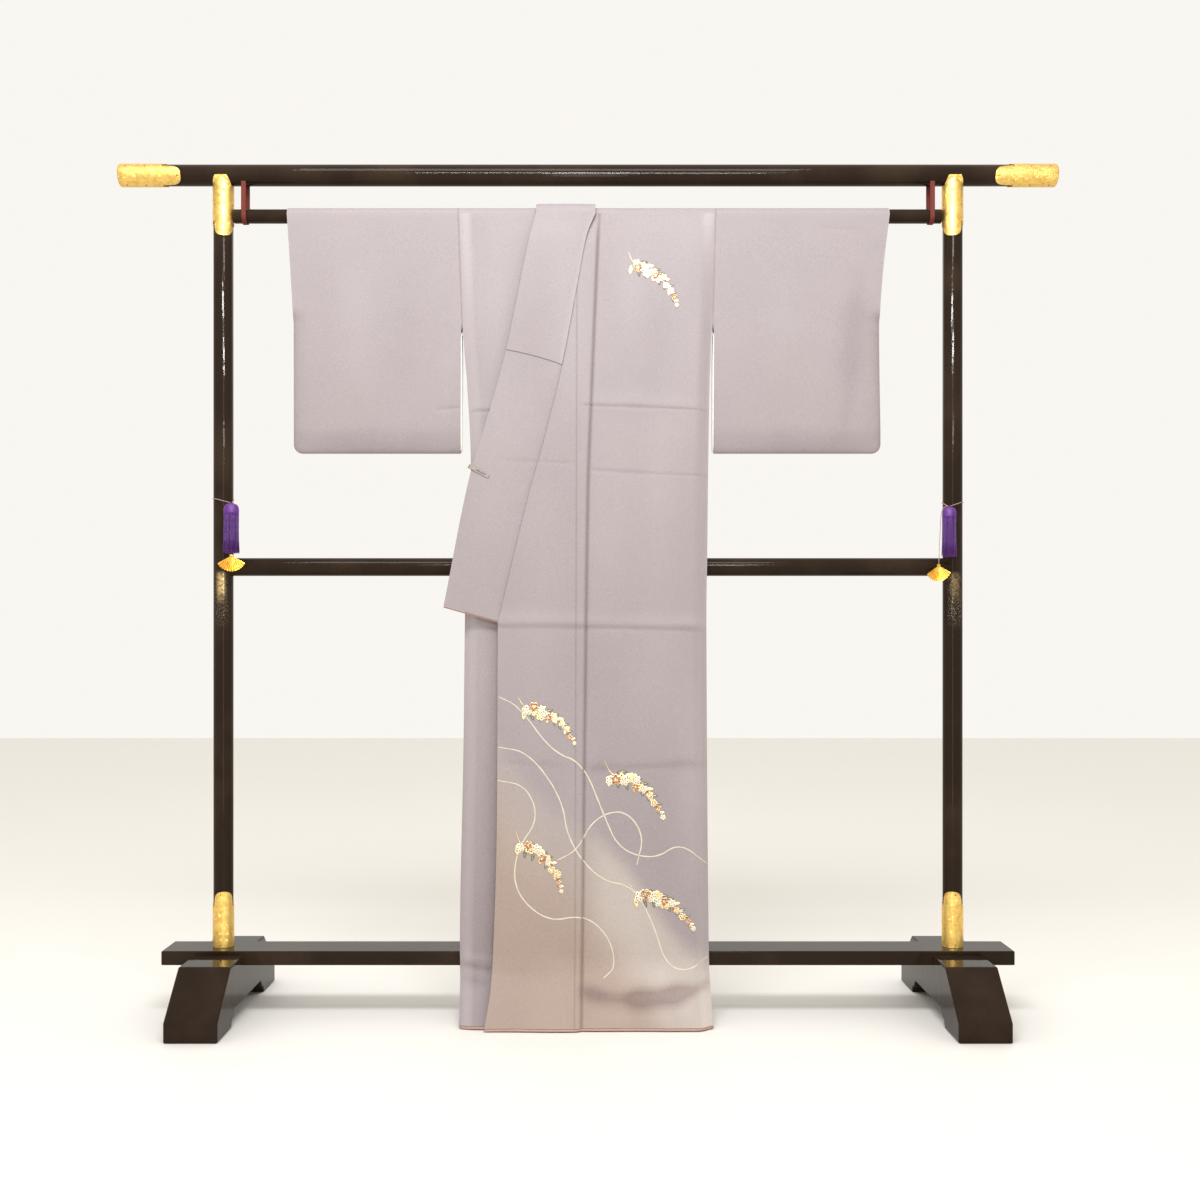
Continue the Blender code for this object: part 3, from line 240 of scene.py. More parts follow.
class FinishNodes:
    """The node tree of one finish, with the few nodes that the finishes share."""

    def __init__(self, name: str) -> None:
        """Start an empty finish.

        Args:
            name: The material's name.
        """
        self.material = bpy.data.materials.new(name)
        self.material.use_nodes = True
        self.tree = self.material.node_tree
        self.tree.nodes.clear()

    def add(self, kind: str, settings: Mapping[str, object] | None = None,
            inputs: Mapping[str | int, object] | None = None,
            output: str | int = 0) -> Signal:
        """Add one node: its settings first, then its sockets' values or links.

        Args:
            kind: The node's type.
            settings: Its properties.
            inputs: The values or signals of its sockets.
            output: The output that carries on.

        Returns:
            That output.
        """
        node = self.tree.nodes.new(kind)
        for name, value in (settings or {}).items():
            setattr(node, name, value)
        for name, value in (inputs or {}).items():
            if isinstance(value, Signal):
                self.tree.links.new(value.socket, node.inputs[name])
            else:
                node.inputs[name].default_value = value
        return Signal(self, node.outputs[output])

    def place(self) -> Signal:
        """Give the place on the piece, in metres."""
        return self.add("ShaderNodeTexCoord", output="Object")

    def axis(self, index: int) -> Signal:
        """Give one axis of the place: 0, 1 or 2 for x, y or z."""
        return self.add("ShaderNodeSeparateXYZ", None, {0: self.place()}, index)

    def mark(self, name: str) -> Signal:
        """Read a value that the mesh carries at its points."""
        return self.add("ShaderNodeAttribute", {"attribute_name": name}, None, "Fac")

    def noise(self, scale: float, detail: float = 2.0, roughness: float = 0.5,
              stretch: Colour = (1.0, 1.0, 1.0)) -> Signal:
        """Give cloudy noise from 0 to 1: so many clouds to the metre, finer ones over them."""
        spot = self.add("ShaderNodeVectorMath", {"operation": "MULTIPLY"},
                        {0: self.place(), 1: stretch})
        return self.add("ShaderNodeTexNoise", None, {
            "Vector": spot, "Scale": scale, "Detail": detail, "Roughness": roughness})

    def grains(self, scale: float) -> Signal:
        """Give the distance, in grain widths, to grains scattered so many to the metre."""
        return self.add("ShaderNodeTexVoronoi", None, {"Vector": self.place(), "Scale": scale})

    def blend(self, share: Signal, first: Colour | Signal, second: Colour | Signal,
              kind: str = "MIX") -> Signal:
        """Blend a share of the second colour over the first, in the Mix node's way."""
        inputs = {k: colour if isinstance(colour, Signal) else (*colour, 1.0)
                  for k, colour in ((6, first), (7, second))}
        return self.add("ShaderNodeMix", {"data_type": "RGBA", "blend_type": kind},
                        {0: share, **inputs}, 2)

    def bump(self, height: Signal, distance: float) -> Signal:
        """Raise the surface's shading by a relief from 0 to 1, which stands for a distance."""
        return self.add("ShaderNodeBump", None,
                        {"Height": height, "Distance": distance, "Strength": 1.0})

    def finish(self, **sockets: object) -> Finish:
        """Close the tree with its shader.

        Args:
            sockets: Values or signals by socket name, with _ for each space.

        Returns:
            The material.
        """
        inputs = {name.replace("_", " "): (*value, 1.0) if isinstance(value, tuple) else value
                  for name, value in sockets.items()}
        shader = self.add("ShaderNodeBsdfPrincipled", None, inputs)
        out = self.tree.nodes.new("ShaderNodeOutputMaterial")
        self.tree.links.new(shader.socket, out.inputs["Surface"])
        return self.material


@dataclass(frozen=True)
class Lacquer:
    """Polished black-brown lacquer over wood; gilded adds sprinkled gold on the posts."""

    name: str = "black_lacquer"
    colour: Colour = (0.0225, 0.0135, 0.0082)
    gilded: bool = False
    gild_top: float = 0.878
    gild_bottom: float = 0.756
    gold: Colour = (0.86, 0.62, 0.28)
    dust_gold: Colour = (0.60, 0.50, 0.34)

    def make(self) -> Finish:
        """Build the material.

        Returns:
            The material.
        """
        nodes = FinishNodes(self.name)
        cloud = nodes.noise(9.0, 3.0)
        colour = nodes.blend(cloud.step(0.42, 0.75), self.colour, darker(self.colour, 1.7))
        dust = nodes.noise(420.0, 2.0)
        rough = 0.050 + 0.03 * cloud + 0.10 * dust.step(0.66, 0.84)
        metal: Signal | float = 0.0
        if self.gilded:
            share = ((nodes.axis(2) - self.gild_bottom)
                     / (self.gild_top - self.gild_bottom))
            off = (nodes.axis(0).size() - Stand.post_x).size()
            front = nodes.axis(1).step(0.002, -0.008)
            right_post = nodes.axis(0).step(0.5, -0.5)
            patch = nodes.noise(230.0, 3.0, 0.65)
            streak = (off.step(0.0115, 0.0020) * share.step(0.40, 0.80)
                      * share.step(1.00, 0.90) * patch.step(0.25, 0.60)
                      * (0.20 + 0.62 * right_post))
            flakes = nodes.grains(780.0).step(0.42, 0.22) * nodes.noise(330.0, 2.0).step(
                0.44, 0.56)
            dust = (flakes * off.step(0.0165, 0.0090) * share.step(0.0, 0.30)
                    * share.step(1.00, 0.86) * (1.0 - 0.25 * right_post))
            colour = nodes.blend(dust * 0.8 * front, colour, self.dust_gold)
            colour = nodes.blend(streak * front, colour, self.gold)
            gilt = (streak + dust).least(1.0) * front
            rough = rough + 0.25 * gilt
            metal = 0.8 * gilt
        normal = nodes.bump(nodes.noise(55.0, 1.0), 0.00018)
        return nodes.finish(Base_Color=colour, Roughness=rough, Metallic=metal, Normal=normal,
                            IOR=1.17)


@dataclass(frozen=True)
class Gilt:
    """Gilt brass: scrolls stand out of a ground of fine punched dots."""

    name: str = "engraved_gilt"
    colour: Colour = (0.88, 0.61, 0.175)
    deep: Colour = (0.74, 0.40, 0.08)
    groove: Colour = (0.34, 0.15, 0.03)
    scrolls: bool = True

    def make(self) -> Finish:
        """Build the material.

        Returns:
            The material.
        """
        nodes = FinishNodes(self.name)
        tone = nodes.noise(120.0, 4.0, 0.65)
        dots = nodes.grains(620.0).step(0.12, 0.50)
        relief = tone * 0.7 + dots * 0.2
        colour = nodes.blend(tone.step(0.42, 0.66) * 0.8, self.colour, self.deep)
        if self.scrolls:
            scroll = (nodes.noise(62.0, 1.5) * 46.0).wave().size()
            cut = scroll.step(0.26, 0.06) * nodes.noise(40.0, 1.0).step(0.44, 0.60)
            relief = scroll.step(0.1, 0.6) * 0.35 + dots * 0.25 + tone * 0.6
            colour = nodes.blend(cut * 0.45, colour, self.groove)
        return nodes.finish(Base_Color=colour, Metallic=0.88, Roughness=0.26 + 0.16 * tone,
                            Normal=nodes.bump(relief, 0.0004))


@dataclass(frozen=True)
class Crepe:
    """Silk crepe: a fine crinkled weave with a soft sheen, dyed darker and warmer at the hem,
    with painted shade and light.
    """

    name: str = "mauve_crepe"
    mauve: Colour = (0.447, 0.396, 0.399)
    pale: Colour = (0.652, 0.589, 0.525)
    blush: Colour = (0.497, 0.391, 0.319)
    rest_shade: float = 0.31     # painted shade everywhere, so that a shade mark below 0 paints light
    dyed: bool = False

    def make(self) -> Finish:
        """Build the material.

        Returns:
            The material.
        """
        nodes = FinishNodes(self.name)
        crinkle = nodes.noise(620.0, 2.0, 0.55, (1.0, 1.0, 0.62))
        twist = nodes.noise(1500.0, 1.0, 0.5, (1.0, 1.0, 0.35))
        cloud = nodes.noise(7.0, 3.0)
        colour = nodes.blend(cloud.step(0.35, 0.70) * 0.35, self.mauve,
                             darker(self.mauve, 0.93))
        if self.dyed:
            below = nodes.mark("dye") + 0.05 * (cloud - 0.5)
            pale = below.step(-0.050, 0.020) * below.step(0.240, 0.090) * nodes.mark("pale")
            colour = nodes.blend(below.step(-0.035, 0.190), colour, self.blush)
            colour = nodes.blend(pale, colour, self.pale)
        # the weave's crinkle, plus painted shade and painted light from the shade mark
        speckle_and_shade = (crinkle.step(0.30, 0.70) * 0.16 + self.rest_shade
                   + nodes.mark("shade").least(1.0) * 0.5)
        colour = nodes.blend(speckle_and_shade, colour, (0.42, 0.35, 0.36), "MULTIPLY")
        normal = nodes.bump(crinkle * 0.7 + twist * 0.3, 0.00055)
        return nodes.finish(Base_Color=colour, Roughness=0.56 + 0.14 * crinkle, Normal=normal,
                            Sheen_Weight=0.22, Sheen_Roughness=0.38, Sheen_Tint=(1.0, 0.96, 1.0),
                            Specular_IOR_Level=0.32)


@dataclass(frozen=True)
class PlainSilk:
    """Plain-woven lining silk, thread or paste in one colour, with a fine even rib."""

    name: str
    colour: Colour
    roughness: float = 0.55
    threads: float = 1400.0

    def make(self) -> Finish:
        """Build the material.

        Returns:
            The material.
        """
        nodes = FinishNodes(self.name)
        across = (nodes.axis(2) * (TURN * self.threads / 2.0)).wave()
        cloud = nodes.noise(60.0, 3.0)
        weave = nodes.noise(self.threads, 1.0)
        colour = nodes.blend(cloud.step(0.3, 0.8) * 0.4, self.colour,
                             darker(self.colour, 0.82))
        normal = nodes.bump(weave * 0.6 + across * 0.2, 0.00025)
        return nodes.finish(Base_Color=colour, Roughness=self.roughness + 0.1 * weave,
                            Normal=normal, Sheen_Weight=0.15, Sheen_Roughness=0.4)


@dataclass(frozen=True)
class GoldPaste:
    """Gold leaf laid on the cloth, a little broken so that the weave shows through."""

    name: str = "gold_leaf"
    colour: Colour = (0.86, 0.66, 0.34)

    def make(self) -> Finish:
        """Build the material.

        Returns:
            The material.
        """
        nodes = FinishNodes(self.name)
        worn = nodes.noise(500.0, 3.0).step(0.56, 0.74)
        colour = nodes.blend(worn, self.colour, (0.60, 0.50, 0.40))
        return nodes.finish(Base_Color=colour, Metallic=0.75 - 0.6 * worn,
                            Roughness=0.36 + 0.25 * worn,
                            Normal=nodes.bump(nodes.noise(900.0, 2.0), 0.0002))


@dataclass(frozen=True)
class TasselSilk:
    """Lustrous dyed thread, with a little change from strand to strand and a lighter head with a
    painted highlight on its top.
    """

    name: str = "purple_thread"
    colour: Colour = (0.082, 0.008, 0.200)
    # the colour that the strands vary towards, and the painted highlight on the head
    light: Colour = (0.190, 0.030, 0.300)

    def make(self) -> Finish:
        """Build the material.

        Returns:
            The material.
        """
        nodes = FinishNodes(self.name)
        strand = nodes.noise(900.0, 1.0, 0.5, (1.0, 1.0, 0.02))
        # the head mark: strand-to-strand tone, and a painted highlight on the head's top
        head = nodes.mark("head")
        colour = nodes.blend((strand.step(0.35, 0.7) * 0.5 + head * 0.35).least(1.0),
                             self.colour, self.light)
        normal = nodes.bump(nodes.noise(2200.0, 1.0, 0.5, (1.0, 1.0, 0.1)), 0.0002)
        return nodes.finish(Base_Color=colour, Roughness=0.42 + 0.2 * strand, Normal=normal,
                            Sheen_Weight=0.3, Sheen_Roughness=0.3,
                            Sheen_Tint=(0.75, 0.5, 1.0))


@dataclass(frozen=True)
class StrapLeather:
    """Rust-red strap with darker, slightly worn edges."""

    name: str = "rust_strap"
    colour: Colour = (0.165, 0.030, 0.020)
    edge: Colour = (0.085, 0.016, 0.012)
    half_width: float = 0.0050

    def make(self) -> Finish:
        """Build the material.

        Returns:
            The material.
        """
        nodes = FinishNodes(self.name)
        off = (nodes.axis(0).size() - Stand.strap_x).size() / self.half_width
        grain = nodes.noise(1300.0, 3.0)
        colour = nodes.blend((off.step(0.62, 0.98) * 0.85 + grain * 0.12).least(1.0),
                             self.colour, self.edge)
        return nodes.finish(Base_Color=colour, Roughness=0.6 + 0.2 * grain, IOR=1.25,
                            Normal=nodes.bump(grain, 0.0003))


@dataclass(frozen=True)
class Steel:
    """Dull plated spring steel."""

    name: str = "dull_steel"
    colour: Colour = (0.250, 0.212, 0.178)
    worn: Colour = (0.120, 0.100, 0.082)

    def make(self) -> Finish:
        """Build the material.

        Returns:
            The material.
        """
        nodes = FinishNodes(self.name)
        rub = nodes.noise(500.0, 3.0, 0.6, (0.2, 1.0, 1.0))
        colour = nodes.blend(rub.step(0.4, 0.8) * 0.6, self.colour, self.worn)
        return nodes.finish(Base_Color=colour, Metallic=0.55, Roughness=0.55 + 0.2 * rub,
                            Normal=nodes.bump(rub, 0.00008))


@dataclass(frozen=True)
class StudioFloor:
    """A pale, very faintly clouded floor."""

    name: str = "studio_floor"
    colour: Colour = (0.86, 0.83, 0.77)

    def make(self) -> Finish:
        """Build the material.

        Returns:
            The material.
        """
        nodes = FinishNodes(self.name)
        cloud = nodes.noise(1.3, 3.0)
        colour = nodes.blend(cloud * 0.15, self.colour, (0.80, 0.78, 0.73))
        return nodes.finish(Base_Color=colour, Roughness=0.55 + 0.1 * cloud)


class Palette:
    """The finishes of the object, each made once."""

    def __init__(self) -> None:
        """Make every finish."""
        self.lacquer = Lacquer().make()
        self.gilded_lacquer = Lacquer("gilded_lacquer", gilded=True).make()
        self.gilt = Gilt().make()
        self.plain_gilt = Gilt("plain_gilt", (0.90, 0.52, 0.085), (0.66, 0.32, 0.04),
                               scrolls=False).make()
        self.dark_brass = Steel("dark_brass", (0.30, 0.17, 0.05)).make()
        self.crepe = Crepe().make()
        self.dyed_crepe = Crepe("hem_dyed_crepe", dyed=True).make()
        self.white_lining = PlainSilk("white_lining", (0.86, 0.83, 0.76)).make()
        self.russet_lining = PlainSilk("russet_lining", (0.30, 0.145, 0.105)).make()
        self.hem_lining = PlainSilk("hem_lining", (0.43, 0.250, 0.195)).make()
        self.cream = PlainSilk("cream_paste", (0.70, 0.64, 0.50), 0.5).make()
        self.ivory = PlainSilk("ivory_paste", (0.86, 0.82, 0.72), 0.5).make()
        self.sage = PlainSilk("sage_paste", (0.150, 0.165, 0.110), 0.55).make()
        self.rust = PlainSilk("rust_paste", (0.48, 0.170, 0.085), 0.5).make()
        self.gold = GoldPaste().make()
        self.purple = TasselSilk().make()
        self.pink = PlainSilk("pink_string", (0.46, 0.30, 0.27), 0.6).make()
        self.strap = StrapLeather().make()
        self.steel = Steel().make()
        self.floor = StudioFloor().make()


# ------------------------------------------------------------------ shared making

@dataclass(frozen=True)
class Stand:
    """The sizes of the stand that more than one of its pieces uses."""

    post_x: float = 0.729
    post_radius: float = 0.0195
    top_rail_z: float = 1.668
    top_rail_radius: float = 0.021
    top_rail_half: float = 0.934
    rod_z: float = 1.586
    rod_radius: float = 0.014
    middle_rail_z: float = 0.885
    middle_rail_radius: float = 0.018
    base_length: float = 1.68
    base_depth: float = 0.088
    base_height: float = 0.028
    base_bottom: float = 0.099
    strap_x: float = 0.685


GAP = 0.0003                     # between neighbouring rigid pieces
BAR_SIDES = 72                   # steps round a turned bar
# painted shade (below 0, painted light), the hem dye's depth, and its paleness
MARKS = ("shade", "dye", "pale")
SIDES = ((-1, "right"), (1, "left"))


@dataclass
class Workshop:
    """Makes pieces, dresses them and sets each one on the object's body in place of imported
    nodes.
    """

    palette: Palette
    count: int = 0

    def piece(self, name: str, mesh: bpy.types.Mesh, *finishes: Finish) -> Piece:
        """Put a mesh into the scene as a smooth-shaded piece.

        Args:
            name: The piece's name.
            mesh: Its mesh.
            finishes: Its materials.

        Returns:
            The piece.
        """
        mesh.shade_smooth()
        for finish in finishes:
            mesh.materials.append(finish)
        piece = bpy.data.objects.new(name, mesh)
        bpy.context.scene.collection.objects.link(piece)
        return piece

    def mesh_piece(self, name: str, points: Sequence[Sequence[float]],
                   faces: Sequence[Sequence[int]], *finishes: Finish) -> Piece:
        """Make a piece out of points and faces.

        Args:
            name: The piece's name.
            points: Its points.
            faces: Its faces, as point numbers.
            finishes: Its materials.

        Returns:
            The piece.
        """
        mesh = bpy.data.meshes.new(name)
        mesh.from_pydata([tuple(map(float, point)) for point in points], [],
                         [tuple(map(int, face)) for face in faces])
        mesh.validate()
        return self.piece(name, mesh, *finishes)

    def bmesh_piece(self, name: str, bm: bmesh.types.BMesh, finish: Finish,
                    smooth_below: float = 40.0) -> Piece:
        """Turn a bmesh into a piece that is smooth but for its sharp edges.

        Args:
            name: The piece's name.
            bm: The bmesh, which is used up.
            finish: Its material.
            smooth_below: Edges sharper than this many degrees stay sharp.

        Returns:
            The piece.
        """
        mesh = bpy.data.meshes.new(name)
        bm.to_mesh(mesh)
        bm.free()
        piece = self.piece(name, mesh, finish)
        mesh.set_sharp_from_angle(angle=math.radians(smooth_below))
        return piece

    def grid_piece(self, name: str, grid: Values, *finishes: Finish,
                   keep: Callable[[int, int], bool] | None = None,
                   wrap: tuple[bool, bool] = (False, False)) -> Piece:
        """Make a piece out of a grid of points.

        Args:
            name: The piece's name.
            grid: Points by row and column, each followed by its marks.
            finishes: Its materials.
            keep: Says whether the cell that starts at a row and column is there.
            wrap: Whether the rows, and the columns, join up into a ring.

        Returns:
            The piece.
        """
        rows, columns = grid.shape[:2]
        cells = []
        for j in range(rows if wrap[0] else rows - 1):
            for i in range(columns if wrap[1] else columns - 1):
                if keep is None or keep(j, i):
                    down, across = (j + 1) % rows, (i + 1) % columns
                    cells.append(((j, i), (j, across), (down, across), (down, i)))
        used = np.full((rows, columns), -1)
        used[tuple(np.array(cells).reshape(-1, 2).T)] = 0
        used[used == 0] = np.arange(int((used == 0).sum()))
        if grid[0, -1, 0] < grid[0, 0, 0]:
            cells = [cell[::-1] for cell in cells]
        points = grid[used >= 0]
        piece = self.mesh_piece(name, points[:, :3],
                                [[used[spot] for spot in cell] for cell in cells], *finishes)
        for k, mark in enumerate(MARKS[:points.shape[1] - 3]):
            self.mark_points(piece, mark, points[:, 3 + k])
        return piece

    def mark_points(self, piece: Piece, name: str, values: Values) -> None:
        """Let a piece's points carry a value for its finish."""
        mark = piece.data.attributes.new(name, "FLOAT", "POINT")
        mark.data.foreach_set("value", np.asarray(values, np.float32))

    def weld(self, piece: Piece) -> None:
        """Join the points of a piece that lie on each other."""
        weld = piece.modifiers.new("Weld", "WELD")
        weld.merge_threshold = 0.00002

    def thicken(self, piece: Piece, wall: float, round_edge: float = 0.0,
                inner_finish: bool = False) -> None:
        """Give an open surface its thickness, half to each side.

        Args:
            piece: The piece.
            wall: Its thickness.
            round_edge: How far its cut edges are rounded.
            inner_finish: Dress its second side in its second material.
        """
        solid = piece.modifiers.new("Wall", "SOLIDIFY")
        solid.thickness = wall
        solid.offset = 0.0
        solid.material_offset = int(inner_finish)
        if round_edge > 0.0:
            self.bevel(piece, round_edge, 2, 60.0)

    def bevel(self, piece: Piece, width: float, segments: int = 3,
              angle: float = 30.0) -> None:
        """Round a piece's edges.

        Args:
            piece: The piece.
            width: How far the rounding reaches.
            segments: Its steps.
            angle: Only edges sharper than this many degrees are rounded.
        """
        bevel = piece.modifiers.new("Bevel", "BEVEL")
        bevel.width = width
        bevel.segments = segments
        bevel.limit_method = "ANGLE"
        bevel.angle_limit = math.radians(angle)
        bevel.harden_normals = True

    def book(self, piece: Piece, slot: str, *nodes: str) -> Piece:
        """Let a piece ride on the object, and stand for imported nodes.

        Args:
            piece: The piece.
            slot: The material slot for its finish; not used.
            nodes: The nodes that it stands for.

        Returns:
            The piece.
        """
        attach(piece, BODY)
        if nodes:
            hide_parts(*nodes)
        self.count += 1
        LOG.info("piece %s", piece.name)
        return piece

    def lathe(self, name: str, profile: Sequence[tuple[float, float]], place: Matrix,
              finish: Finish, sides: int = BAR_SIDES) -> Piece:
        """Turn a closed round piece.

        Args:
            name: The piece's name.
            profile: Pairs of radius and height; the first and last radius are 0.
            place: Where its axis goes.
            finish: Its material.
            sides: Its steps round.

        Returns:
            The piece.
        """
        bm = bmesh.new()
        angles = [TURN * k / sides for k in range(sides)]
        rings = [[bm.verts.new((radius * math.cos(a), radius * math.sin(a), height))
                  for a in (angles if radius else angles[:1])] for radius, height in profile]
        for low, high in zip(rings, rings[1:]):
            for k in range(sides):
                after = (k + 1) % sides
                ring = [low[k % len(low)], low[after % len(low)], high[after % len(high)],
                        high[k % len(high)]]
                bm.faces.new(list(dict.fromkeys(ring)))
        bmesh.ops.recalc_face_normals(bm, faces=bm.faces[:])
        bm.transform(place)
        return self.bmesh_piece(name, bm, finish, 50.0)


# ------------------------------------------------------------------ the hanging cloth

class Layer(Enum):
    """The garment's layers from front to back; each value is its column in the table."""

    FRONT = "front"
    COLLAR = "collar"
    UNDER = "under"
    UNDER_COLLAR = "under_collar"
    BACK = "back"


@dataclass(frozen=True)
class Crease:
    """A soft ridge or trough along a slightly bowed line on the hanging cloth."""

    start: tuple[float, float]   # x and height
    end: tuple[float, float]
    width: float
    rise: float                  # towards whoever faces the layer; a trough is below 0
    bow: float
    fade: float                  # share of the length over which each end dies away
    tone: float = 1.0            # how strongly it paints shade or light on the cloth

    @property
    def height(self) -> float:
        """Find the height of its middle."""
        return between(self.start[1], self.end[1], 0.5)

    def at(self, x: Values, height: Values) -> Values:
        """Find how far the crease lifts the cloth.

        Args:
            x: Places across.
            height: Their heights.

        Returns:
            The lifts.
        """
        run_x, run_z = self.end[0] - self.start[0], self.end[1] - self.start[1]
        length = math.hypot(run_x, run_z)
        off_x, off_z = x - self.start[0], height - self.start[1]
        share = (off_x * run_x + off_z * run_z) / length ** 2
        across = (off_z * run_x - off_x * run_z) / length
        across = across - self.bow * 4.0 * share * (1.0 - share)
        waver = 1.0 + 0.22 * np.sin(share * 9.0 + self.start[1] * 40.0)
        waver = waver + 0.12 * np.sin(share * 23.0 + self.start[0] * 70.0)
        ends = ease(share / self.fade) * ease((1.0 - share) / self.fade)
        return self.rise * ends * waver * hump(across, self.width * waver)


def creases(*rows: Sequence[float]) -> tuple[Crease, ...]:
    """Read creases from a table.

    Args:
        rows: Both ends' places and heights, the width, rise and bow, all in millimetres, then
            the fade and perhaps the tone.

    Returns:
        The creases.
    """
    made = []
    for row in rows:
        x, z, end_x, end_z, *sizes = (value / 1000.0 for value in row[:7])
        made.append(Crease((x, z), (end_x, end_z), *sizes, *row[7:]))
    return tuple(made)


@dataclass(frozen=True)
class Swell:
    """The gentle unevenness of hanging cloth: a few long waves, mostly upright."""

    seed: int
    amount: float
    waves: int = 7

    def at(self, x: Values, height: Values) -> Values:
        """Find how far the waves lift the cloth.

        Args:
            x: Places across.
            height: Their heights.

        Returns:
            The lifts.
        """
        draw = np.random.default_rng(self.seed)
        total = np.zeros(np.broadcast(x, height).shape)
        for _ in range(self.waves):
            across = TURN / draw.uniform(0.09, 0.30) * draw.choice((-1.0, 1.0))
            down = TURN / draw.uniform(0.35, 1.30)
            phase = draw.uniform(0.0, TURN)
            total += draw.uniform(0.5, 1.0) * np.sin(across * x + down * height + phase)
        return self.amount * total / math.sqrt(self.waves)


@dataclass(frozen=True)
class Drape:
    """Where each layer of the garment hangs."""

    rod_z: float = Stand.rod_z
    hem_z: float = 0.006
    armhole_z: float = 1.375
    overlap_tip_z: float = 1.4388
    neck_z: float = 1.562
    wrap: float = 0.0155
    collar_wrap: float = 0.0209
    under_collar_wrap: float = 0.0176
    edge_blend: float = 0.028
    step_height: float = 0.0045
    step_width: float = 0.0085
    tuck: tuple[float, float] = (0.0017, 0.0026)   # depth and width of the ridge's fold line
    fold_half: float = 0.030
    fold_pitch: float = 0.0035
    hang: dict[str, Track] = field(default_factory=lambda: tracks(
        ("height", "front", "collar", "under", "under_collar", "back"),
        (0, -154, -154, -143, -143, -125), (60, -101, -101, -90, -90, -72),
        (95, -79, -79, -69, -69, -53), (130, -72, -72, -63, -63, -48),
        (300, -65, -65, -56, -56, -41), (900, -46, -46, -37, -37, -21.4),
        (1375, -31, -31, -22.5, -22.5, 9), (1500, -25, -25, -17.5, -17.5, 14.5),
        (1545, -20.8, -22.5, -16.3, -18.1, 15.2), (1586, -15.5, -20.9, -15.5, -17.6, 15.5)))
    sides: dict[str, Track] = field(default_factory=lambda: tracks(
        ("height", "right", "left", "front", "back"),
        (0, -245, 238, -137, -132.5), (60, -248, 237.6, -82, -78),
        (95, -250, 237.2, -59, -55), (155.6, -251.2, 236.6, -51.5, -48),
        (543, -245.3, 234.5, -37, -33.6), (790, -243.3, 234.2, -28.2, -24.8),
        (900, -239.5, 236.1, -25, -21.6), (1079, -232.5, 238.5, -20.5, -16.5),
        (1252, -240.5, 242, -15.5, -9), (1293, -244.1, 243.7, -14.5, -2),
        (1340, -247.9, 245.6, -13.5, 6), (1375, -250.8, 249, -13, 10.5),
        (1586, -258.3, 254.2, -15.5, 15.5)))
    collar_free: Track = line((806, 1067, 1135, 1312, 1535, 1586),
                              (-282.9, -231.2, -210.3, -161.4, -115.9, -103))
    collar_seam: Track = line((776.5, 1028, 1135, 1282, 1439, 1543, 1586),
                              (-177.1, -117, -87.4, -51.5, -21.8, -2, 14.9))
    overlap_free: Track = line((0, 72, 403, 776.5), (-196.5, -187.1, -177.5, -176.6))
    overlap_seam: Track = line((0, 1439), (-25.8, -21.8))
    ridge: Track = line((0, 620, 1040, 1200, 1586), (-15, -7.8, -2, 4, 20))
    under_seam_x: float = 0.0150
    under_free_x: float = 0.1450
    under_collar_seam: Track = line((776.5, 1439, 1545, 1586), (145, 15, -69, -101))
    under_collar_free: Track = line((776.5, 1200, 1439, 1500, 1545, 1586),
                                    (204, 125, 70, 30, -6, -8))
    over_collar_end: tuple[float, float] = (1.312, 1.282)

    def side_x(self, side: str, height: Values | float) -> Values:
        """Find where a body panel's outer edge runs; beside the sleeve it is straight.

        Args:
            side: Left or right.
            height: The heights.

        Returns:
            The places across.
        """
        track = self.sides[side]
        share = (height - self.armhole_z) / (self.rod_z - self.armhole_z)
        straight = between(track(self.armhole_z), track(self.rod_z), np.clip(share, 0.0, 1.0))
        return np.where(np.asarray(height) > self.armhole_z, straight, track(height))

    def over_rod(self, radius: Values | float, share: float) -> tuple[Values, Values]:
        """Find the depth and height at a share of the half turn over the rod."""
        angle = math.pi * share
        return -radius * math.cos(angle), self.rod_z + radius * math.sin(angle)

    def plain_depth(self, layer: Layer, x: Values, height: Values) -> Values:
        """Find the depth of a layer before it creases.

        Args:
            layer: The layer.
            x: Places across.
            height: Their heights.

        Returns:
            The depths of the middle of its wall.
        """
        depth = self.hang[layer.value](height)
        left, right = self.side_x("left", height), self.side_x("right", height)
        if layer in (Layer.FRONT, Layer.COLLAR):
            fade = ease((self.rod_z - height) / 0.06)
            step = 1.0 - ease((x - self.ridge(height)) / self.step_width + 0.5)
            depth = depth - fade * (self.step_height * step
                                    - self.tuck[0] * self.tuck_share(x, height))
        room = {Layer.FRONT: left - x, Layer.UNDER: x - right,
                Layer.BACK: np.minimum(left - x, x - right)}.get(layer)
        if room is None:
            return depth
        edge = self.sides["back" if layer is Layer.BACK else "front"](height)
        return between(depth, edge, 1.0 - ease(room / self.edge_blend))

    def tuck_share(self, x: Values, height: Values) -> Values:
        """Find how near the fold line at the ridge's foot is, as a share."""
        return hump(x - (self.ridge(height) + 0.35 * self.step_width), self.tuck[1])

    def bulge(self, x: Values, height: Values) -> Values:
        """Find how far the overlap's sewn edge stands out beside its seam."""
        return 0.0005 * hump(self.overlap_seam(height) - x - 0.0032, 0.0020)

